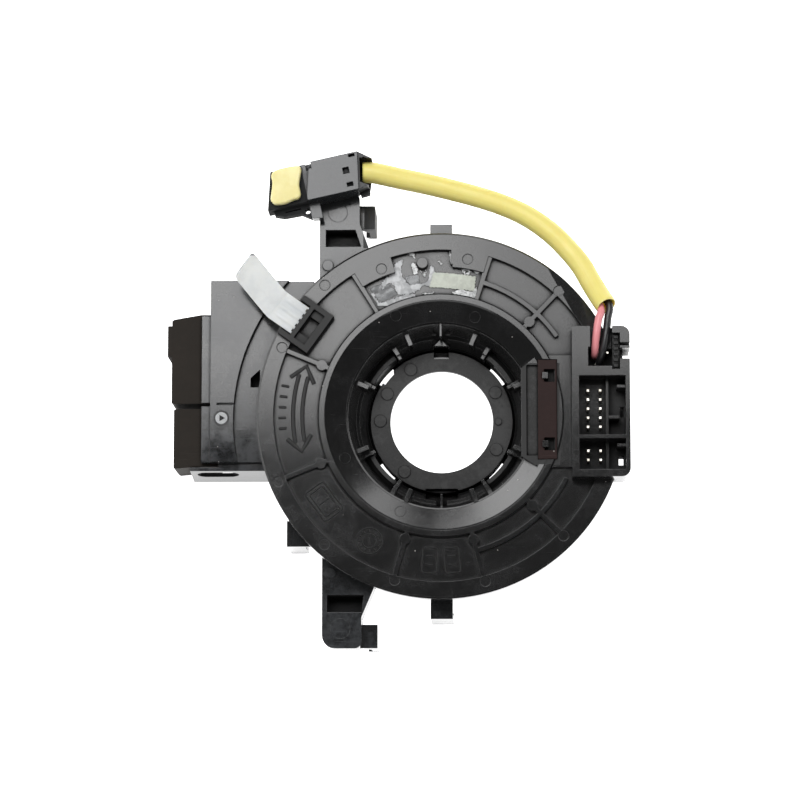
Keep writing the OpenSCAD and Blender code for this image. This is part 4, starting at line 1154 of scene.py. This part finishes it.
@dataclass
class PlugLock:
    """The plug's lock button, a soft cushion shape with lobes that slides along the plug.

    Attributes:
        plug_at: Place of the plug's own axes.
        plug_turn: Angle of the plug to the X axis, in degrees.
        outline: Points of its outline in the plug's axes, anticlockwise.
        middle: Middle of the button in the plug's axes.
        edge: Radius of the button's upper edge.
        crown: How far the middle stands above that edge.
        low_z: Height of its underside on the plug.
        high_z: Height of its top.
        stem: Half length, half width and foot height of the stem below it.
    """

    plug_at: Point = (-35.9, 66.5, 7.9)
    plug_turn: float = 12.6
    outline: Outline = (
        (-2.45, 3.5), (-2.6, 4.7), (-3.6, 5.1), (-5.2, 5.25), (-7.2, 5.3), (-9.0, 5.2), (-10.5, 4.7), (-11.05, 3.6),
        (-11.1, 2.2), (-11.5, 0.6), (-12.1, -1.1), (-12.6, -2.8), (-12.0, -4.1), (-10.9, -4.6), (-8.6, -4.75),
        (-6.4, -4.3), (-4.9, -4.2), (-4.1, -3.3), (-3.95, -1.8), (-3.9, -0.4), (-3.35, 1.2), (-2.85, 2.4),
    )
    middle: Pair = (-7.4, 0.3)
    edge: float = 0.75
    crown: float = 0.12
    low_z: float = 8.4
    high_z: float = 10.5
    stem: Point = (1.3, 1.4, 7.2)

    def button(self) -> Patch:
        """Works out the button's surface.

        Its outline is a closed Catmull-Rom curve through the outline's points. From the underside the rings
        climb the side, round the edge by a quarter circle and run in to the middle, which is slightly crowned.

        Returns:
            The closed patch, in the plug's axes.
        """
        p = np.asarray(self.outline) - np.array(self.middle)
        wrapped = np.column_stack([np.vstack([p[-2:], p, p[:2]]), np.zeros(len(p) + 4)])
        curve = smooth_route(wrapped, 6)[12:-13, :2]
        radius = np.linalg.norm(curve, axis=1)
        way = curve / radius[:, None]
        rise = self.high_z - self.low_z
        lift = np.linspace(0, np.pi / 2, 9)
        inset = np.concatenate([[0.35, 0.0, 0.0], self.edge * (1 - np.cos(lift))])
        height = np.concatenate([[0.0, 0.25, 1.0], rise - self.edge + self.edge * np.sin(lift)])
        inward = np.array([0.75, 0.5, 0.25, 0.05])
        reach = np.concatenate([radius[None, :] - inset[:, None], (radius - self.edge)[None, :] * inward[:, None]])
        level = np.concatenate([height, rise + self.crown * (1 - inward**2)])
        x = self.middle[0] + reach * way[:, 0]
        y = self.middle[1] + reach * way[:, 1]
        z = np.broadcast_to(self.low_z + level[:, None], x.shape)
        return loft(np.stack([x, y, z], axis=-1), False)

    def stem_patch(self) -> Patch:
        """The stem: a rounded rectangle raised from its foot into the button.

        Returns:
            The closed patch, in the plug's axes.
        """
        half_l, half_w, foot = self.stem
        path = rounded_box_path(2 * half_l, 2 * half_w, 0.3) + np.array([self.middle[0], 0.0])
        levels = np.array([foot, foot + 0.2, self.low_z + 0.2])
        return loft(np.stack([at_height(path, z) for z in levels]), False)

    def build(self) -> None:
        """Makes the button with its stem at its place on the plug."""
        patch = joined([self.button(), self.stem_patch()])
        turn = np.radians(self.plug_turn)
        spin = np.array([[np.cos(turn), np.sin(turn), 0], [-np.sin(turn), np.cos(turn), 0], [0, 0, 1]])
        placed = Patch(patch.points @ spin + np.array(self.plug_at), patch.quads, patch.caps)
        piece = make_piece("plug_lock_cushion", placed, LOCK_YELLOW.material(), Body.AIRBAG_LOCK)
        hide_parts("plug_lock_button")


@dataclass
class RotorMarks:
    """Raised generic marks on the flange's panels and witness rings on the funnel.

    Attributes:
        fine: Width and height of the plates' beads.
        bold: Width and height of the arrow's beads.
        bars: Width and height of the bars beside the arrow.
        ring_r: Radius of a witness ring.
        rings: Radius on the flange and azimuth of each ring's middle.
        cone_inner: Radius and height of the shallow cone's lower edge.
        cone_outer: Radius and height of its upper edge.
    """

    fine: Pair = (0.42, 0.22)
    bold: Pair = (1.25, 0.3)
    bars: Pair = (0.8, 0.25)
    ring_r: float = 1.5
    rings: tuple[Pair, ...] = ((29.2, -155.8), (29.2, -112.6), (30.7, 114), (29.2, 70.8))
    cone_inner: Pair = (26.4, 15.3)
    cone_outer: Pair = (32.0, 17.0)

    def bead(
        self, path: np.ndarray, at: Pair, turn: float = 0.0, closed: bool = False, section: Pair | None = None
    ) -> Patch:
        """Raises a bead along a flat path that is laid on a panel with its own Y pointing outwards.

        Args:
            path: Points about the origin, one (x, y) row each.
            at: Radius on the flange and azimuth in degrees of the path's middle.
            turn: Extra turn of the path about its middle, in degrees.
            closed: Whether the path closes on itself.
            section: Width and height of the bead, those of the plates' beads if left out.

        Returns:
            The bead.
        """
        spin = np.radians(at[1] - 90 + turn)
        matrix = np.array([[np.cos(spin), np.sin(spin)], [-np.sin(spin), np.cos(spin)]])
        return ridge(at_height(path @ matrix + polar(*at), PANEL_Z), closed, *(section or self.fine))

    def tally(self) -> list[Patch]:
        """The left panel's marks: a plain arrow that bends both ways round the hub and a row of five bars.

        Returns:
            Their beads.
        """
        ends = (163.5, 190.5)
        arc = polar(1.0, np.linspace(*ends, 24))
        tip = np.array([[-3.4, -1.4], [-1.8, 0.6], [0.0, 2.8], [1.8, 0.6], [3.4, -1.4]])
        parts = [ridge(at_height(radius * arc, PANEL_Z), False, *self.bold) for radius in (38.6, 41.2)]
        parts += [self.bead(tip, (39.9, end), turn, section=self.bold) for end, turn in zip(ends, (-90.0, 90.0))]
        azimuths = np.arange(169, 187, 3.9)
        return parts + [self.bead(bar_path(-1.0, 1.0, 3), (44.2, azimuth), section=self.bars) for azimuth in azimuths]

    def mould_clock(self, at: Pair, size: float) -> list[Patch]:
        """A mould maker's dial: two rings, twelve ticks between them and a plain pointer.

        Args:
            at: Radius on the flange and azimuth of its middle.
            size: Radius of its outer ring.

        Returns:
            Its beads.
        """
        parts = [self.bead(ring_path(0, 0, r), at, closed=True) for r in (size, 0.55 * size)]
        tick = bar_path(0.68, 0.88, 4) * size
        parts += [self.bead(tick, at, turn) for turn in np.arange(0, 360, 30)]
        return [*parts, self.bead(bar_path(-0.28, 0.36, 5) * size, at, 35)]

    def lower_panels(self) -> list[Patch]:
        """The lower panels' marks: nested plates, a mould clock and a pair of upright plates.

        Returns:
            Their beads.
        """
        nested = (40.4, 216.5)
        parts = self.mould_clock((40.3, 240.5), 3.6)
        plates = (rounded_box_path(9.6, 6.4, 0.9), rounded_box_path(7.6, 4.4, 0.6))
        parts += [self.bead(plate, nested, closed=True) for plate in plates]
        parts.append(self.bead(bar_path(-1.6, 1.6, 6), nested))
        for azimuth in (265.6, 274.4):
            parts.append(self.bead(rounded_box_path(4.2, 7.0, 0.7), (40.6, azimuth), closed=True))
            parts += [self.bead(bar_path(-1.1, 1.1, 5)[:, ::-1], (radius, azimuth)) for radius in (39.4, 41.8)]
        return parts

    def cone_rings(self) -> Patch:
        """Witness rings on the shallow cone, each point lifted to the cone's height at its radius.

        Returns:
            The rings as one patch.
        """
        parts = []
        for at in self.rings:
            path = ring_path(*polar(*at), self.ring_r)
            z = np.interp(np.linalg.norm(path, axis=1), *zip(self.cone_inner, self.cone_outer))
            parts.append(ridge(np.column_stack([path, z]), True, 0.16, 0.05))
        return joined(parts)

    def build(self, material: Material, marks: Material) -> None:
        """Makes the marks and the rings.

        Args:
            material: The rotor's finish.
            marks: The marks' finish.
        """
        make_piece("flange_tally_marks", joined(self.tally()), marks, Body.ROTOR)
        make_piece("flange_plate_marks", joined(self.lower_panels()), marks, Body.ROTOR)
        make_piece("funnel_witness_rings", self.cone_rings(), material, Body.ROTOR)


@dataclass
class CaseMarks:
    """Witness rings on the arms and a mould maker's dial with a plain pointer on the side plate.

    Attributes:
        rings: Middle and radius of each ring on the front face.
        dial: Middle and radius of the dial.
    """

    rings: tuple[Point, ...] = ((-29.2, 59.2, 2.7), (-28.3, -58.8, 2.8))
    dial: Point = (-61.9, 0.6, 1.7)

    @staticmethod
    def ring(x: float, y: float, radius: float, width: float, height: float, corners: int = 40) -> Patch:
        """A closed bead about a middle on the case's front face, round or with a few corners.

        Args:
            x: Middle along X.
            y: Middle along Y.
            radius: Distance of its corners from the middle.
            width: Width of the bead.
            height: Height of the bead.
            corners: Number of its corners.

        Returns:
            The bead.
        """
        return ridge(at_height(ring_path(x, y, radius, corners), CASE_Z), True, width, height)

    def build(self, material: Material, marks: Material) -> None:
        """Makes the rings and the dial: a pale disc of close rings, with a dark groove and pointer.

        Args:
            material: The case's finish.
            marks: The finish of the groove and the pointer.
        """
        x, y, radius = self.dial
        rings = [self.ring(*ring, 0.2, 0.05) for ring in self.rings]
        disc = [self.ring(x, y, r, 0.5, 0.1) for r in np.arange(0.25, radius, 0.4)]
        groove = self.ring(x, y, radius + 0.35, 0.5, 0.02)
        pointer = [self.ring(x, y, r, 0.4, 0.2, 3) for r in (0.25, 0.6, 0.85)]
        make_piece("case_witness_rings", joined(rings), material, Body.STATOR)
        make_piece("case_dial", joined(disc), DIAL_GREY.material(), Body.STATOR)
        make_piece("case_dial_pointer", joined([groove, *pointer]), marks, Body.STATOR)


@dataclass
class LabelResidue:
    """What is left of a torn blank label in the flange's recess.

    Attributes:
        film: Outlines of the clear film.
        paper: Outlines of the torn paper at the left.
        block: Outline of the whole piece of paper at the right.
        hole: Outline of the hole in one scrap.
        scraps: Outlines of the small scraps.
        post: Middle and radius of the post that every sheet leaves free.
        collar_r: Radius within which no sheet reaches.
        cell: Size of a cell of the sheets' grids.
        span: Least and greatest X and Y of the grids.
    """

    film: tuple[Outline, ...] = (
        ((-19.8, 35.9), (-16.3, 37.3), (-14.2, 37), (-11.9, 34.3), (-17, 31.8), (-18.9, 34.5)),
        ((-10, 39.3), (-6, 39.9), (-5.9, 37.3), (-8, 36.5), (-9.7, 38.4)),
    )
    paper: tuple[Outline, ...] = (
        ((-10.8, 44.3), (-11.6, 43.7), (-12.8, 43), (-13.2, 41.6), (-13.5, 40.4), (-15.6, 38.7), (-16.4, 37.6),
        (-16.3, 35.5), (-14.7, 37.3), (-13.9, 37.5), (-12.8, 36.2), (-11.9, 34.2), (-10, 34.2), (-7.2, 34.8),
        (-5.8, 35.6), (-5.9, 37.3), (-7.2, 37.1), (-8.3, 36.7), (-9.4, 37.6), (-10.5, 39), (-11, 40.4),
        (-11, 42.2), (-10.4, 43.7)),
        ((-3.1, 42.1), (-2.5, 42.4), (-2, 41.9), (-1.8, 40.4), (-2.3, 38.4), (-3.1, 36.5), (-4.4, 37.5),
        (-3.8, 37.7), (-3.3, 38.7), (-3.2, 40.4)),
        ((-6, 37.2), (-4.4, 37.5), (-3.1, 37), (-3.1, 36.5), (-4.6, 36.9), (-6, 35.5), (-7.2, 35.6)),
        ((-19.5, 35), (-19.1, 33.7), (-16.8, 30.1), (-16, 30.2), (-12.8, 31.8), (-7.2, 33.7), (-7.1, 34.3),
        (-9.4, 34.3), (-13.3, 33), (-15.6, 32.2), (-17, 31.8), (-18.4, 33.5), (-18.8, 34.7)),
    )
    block: Outline = (
        (-2.1, 40.4), (2.1, 40.2), (6, 39.8), (10, 39.2), (9.4, 35), (6.9, 35.4), (2.9, 35.8), (-0.4, 36.1),
        (-3.2, 36.2), (-2.6, 37.9),
    )
    hole: Outline = ((6.6, 40.8), (7.4, 40.9), (7.9, 40.4), (7, 40.2))
    scraps: tuple[Outline, ...] = (
        ((3.2, 34.7), (4.4, 35.3), (5.8, 35.5), (8, 35), (9.2, 34.9), (9.7, 35.8), (10.1, 36.2), (10.3, 34.5),
        (9.5, 33), (6.9, 33.5), (4.4, 34.1)),
        ((-5.1, 34.3), (-4.4, 34.7), (-1.8, 34.7), (-2.1, 34.3), (-4.6, 34.2)),
        ((5.8, 41), (6.6, 41.5), (8.1, 41.2), (8.6, 40.4), (7.7, 39.7), (6.6, 39.9)),
        ((9.3, 41), (10.8, 41.4), (11.1, 40.5), (10.4, 39.9), (9.5, 40.4)),
        ((2.2, 46.8), (2.8, 46.7), (3.1, 43.3), (2.7, 43.2), (2.5, 46.1)),
        ((-9.2, 45.5), (-7.4, 46.1), (-7, 44.4), (-7.4, 44.4), (-7.9, 45.1)),
        ((-8.3, 42.9), (-7.2, 43.2), (-6.3, 41.3), (-6.4, 40.1), (-7.4, 39.8), (-7.9, 41.3)),
        ((-5.8, 41.2), (-4.7, 39.9), (-3.9, 41.4), (-4.3, 39.2), (-4.8, 39.4)),
        ((-0.5, 43.9), (0.5, 42.8), (0.2, 42.5), (-0.5, 43.4)),
    )
    post: Point = (-5.05, 42.8, 1.75)
    collar_r: float = 34.4
    cell: float = 0.13
    span: tuple[Pair, Pair] = ((-21.5, 11.5), (31, 46.6))

    def sheet(
        self, outlines: Sequence[Outline], holes: Sequence[Outline], lift: float, tear: float, seed: int
    ) -> Patch:
        """Cuts a thin sheet with torn edges out of a square grid.

        A cell stays where its middle, shifted by the waviness of two ripples, lies in an outline and in no hole.

        Args:
            outlines: Outlines that the sheet fills.
            holes: Outlines that it leaves free.
            lift: Height of the sheet above the panel.
            tear: How far the ripples shift a torn edge.
            seed: Seed of the ripples.

        Returns:
            The cells' upper faces, which lie on the panel and never reach past the collar.
        """
        x, y = np.meshgrid(*(np.arange(*ends, self.cell) for ends in self.span), indexing="ij")
        cx, cy = x[:-1, :-1] + self.cell / 2, y[:-1, :-1] + self.cell / 2
        sx = cx + tear * ripple(cx, cy, 1.1, seed)
        sy = cy + tear * ripple(cx, cy, 1.1, seed + 1)
        kept = np.any([within(sx, sy, outline) for outline in outlines], axis=0)
        for outline in holes:
            kept &= ~within(sx, sy, outline)
        kept &= np.hypot(cx - self.post[0], cy - self.post[1]) > self.post[2]
        kept &= np.hypot(cx, cy) > self.collar_r
        quads = grid_quads(*x.shape, False, False).reshape(x.shape[0] - 1, x.shape[1] - 1, 4)[kept]
        z = PANEL_Z + lift + 0.02 * ripple(x, y, 2.3, seed + 2)
        used, numbers = np.unique(quads, return_inverse=True)
        points = np.stack([x, y, z], axis=-1).reshape(-1, 3)[used]
        return Patch(points, numbers.reshape(-1, 4)[:, ::-1])

    def lay(self, name: str, patch: Patch, finish: LabelRemains, thickness: float) -> None:
        """Makes a sheet and gives it its thickness.

        Args:
            name: Name of the piece.
            patch: Its upper face.
            finish: Its finish.
            thickness: Its thickness.
        """
        piece = make_piece(name, patch, finish.material(), Body.ROTOR)
        wall = piece.modifiers.new("wall", "SOLIDIFY")
        wall.thickness = thickness * MM
        wall.offset = -1.0

    def build(self) -> None:
        """Makes the clear film, the torn paper, the whole piece and the scraps, from the panel up."""
        self.lay("label_film", self.sheet(self.film, [], 0.07, 0.08, 5), LABEL_FILM, 0.04)
        self.lay("label_paper", self.sheet(self.paper, [], 0.15, 0.14, 11), LABEL_PAPER, 0.06)
        self.lay("label_block", self.sheet([self.block], [], 0.22, 0.08, 17), LABEL_BLOCK, 0.08)
        self.lay("label_scraps", self.sheet(self.scraps, [self.hole], 0.3, 0.14, 23), LABEL_SCRAP, 0.06)


@dataclass
class Studio:
    """Floor, lights and camera.

    Attributes:
        camera_at: Place of the camera.
        target: Point in the middle of the picture.
        lens: Focal length of the camera on a 36 mm sensor.
        floor_half: Half of the floor's side.
    """

    camera_at: Point = (19.792, -138.434, 1006.498)
    target: Point = (-11.298, 4.126, 17.2)
    lens: float = 161.64
    floor_half: float = 3000.0

    def camera(self) -> None:
        """Places the camera level with the X axis and makes it the scene's."""
        back = unit(np.array(self.camera_at) - np.array(self.target))
        up = unit(np.array([0.0, 1.0, 0.0]) - back[1] * back)
        right = np.cross(up, back)
        data = bpy.data.cameras.new("camera")
        data.lens = self.lens
        data.sensor_width = 36.0
        data.clip_start, data.clip_end = 0.05, 20.0
        camera = add_object("camera", data)
        turned = Matrix((right, up, back)).transposed().to_4x4()
        camera.matrix_world = Matrix.Translation(Vector(self.camera_at) * MM) @ turned
        bpy.context.scene.camera = camera

    def softbox(self, name: str, place: Point, size: Pair, watts: float, turn: Point) -> None:
        """Adds a softbox that shines along its own -Z.

        Args:
            name: Name of the light.
            place: Its middle.
            size: Its width and height.
            watts: Its power.
            turn: Its turn about X, Y and Z, in degrees.
        """
        data = bpy.data.lights.new(name, "AREA")
        data.shape = "RECTANGLE"
        data.size, data.size_y = size[0] * MM, size[1] * MM
        data.energy = watts
        light = add_object(name, data)
        light.location = Vector(place) * MM
        light.rotation_euler = np.radians(turn).tolist()

    def floor(self) -> None:
        """Lays a pale floor just under the part's feet."""
        mesh = bpy.data.meshes.new("floor")
        corners = at_height(self.floor_half * np.array([(-1, -1), (1, -1), (1, 1), (-1, 1)]), FLOOR_Z - 0.02)
        mesh.from_pydata(corners * MM, [], [(0, 1, 2, 3)])
        mesh.materials.append(Backdrop("floor_white", (0.9, 0.9, 0.9, 1.0), (1.0, 1.0, 1.0, 1.0), 0.8).material())
        add_object("floor", mesh)

    def world(self) -> None:
        """Gives the surroundings a pale backdrop to the eye and a dim fill to the surfaces."""
        world = bpy.data.worlds.new("surroundings")
        world.use_nodes = True
        nodes = Nodes(world.node_tree)
        strength = nodes.more(nodes.add("LightPath")["Is Camera Ray"], 0.92, 0.08)
        nodes.fill(world.node_tree.nodes["Background"], {"Color": (1.0, 1.0, 1.0, 1.0), "Strength": strength})
        bpy.context.scene.world = world
        bpy.context.scene.view_settings.view_transform = "Standard"

    def build(self) -> None:
        """Sets up the floor, the camera, the surroundings and the softboxes."""
        self.camera()
        self.floor()
        self.world()
        self.softbox("key_softbox", (-300, 460, 1000), (600, 640), 8.4, (0, 0, 0))
        self.softbox("upper_right_softbox", (202, 456, 1000), (400, 600), 3.3, (0, 0, 0))
        self.softbox("front_fill", (0, -750, 800), (900, 400), 1.8, (43, 0, 0))
        self.softbox("left_fill", (-1300, 0, 650), (500, 900), 4.0, (0, -63, 0))
        self.softbox("right_fill", (1300, 0, 650), (500, 900), 4.0, (0, 63, 0))


def main() -> None:
    """Builds every sub-assembly in order."""
    logging.basicConfig(level=logging.INFO, format="%(name)s: %(message)s")
    Studio().build()
    AirbagLead().build()
    PackedNodes().dress()
    LockTab().build()
    PlugLock().build()
    marks = MARK_BLACK.material()
    RotorMarks().build(bpy.data.materials[ROTOR_BLACK.name], marks)
    CaseMarks().build(bpy.data.materials[CASE_BLACK.name], marks)
    LabelResidue().build()


if __name__ == "__main__":
    main()
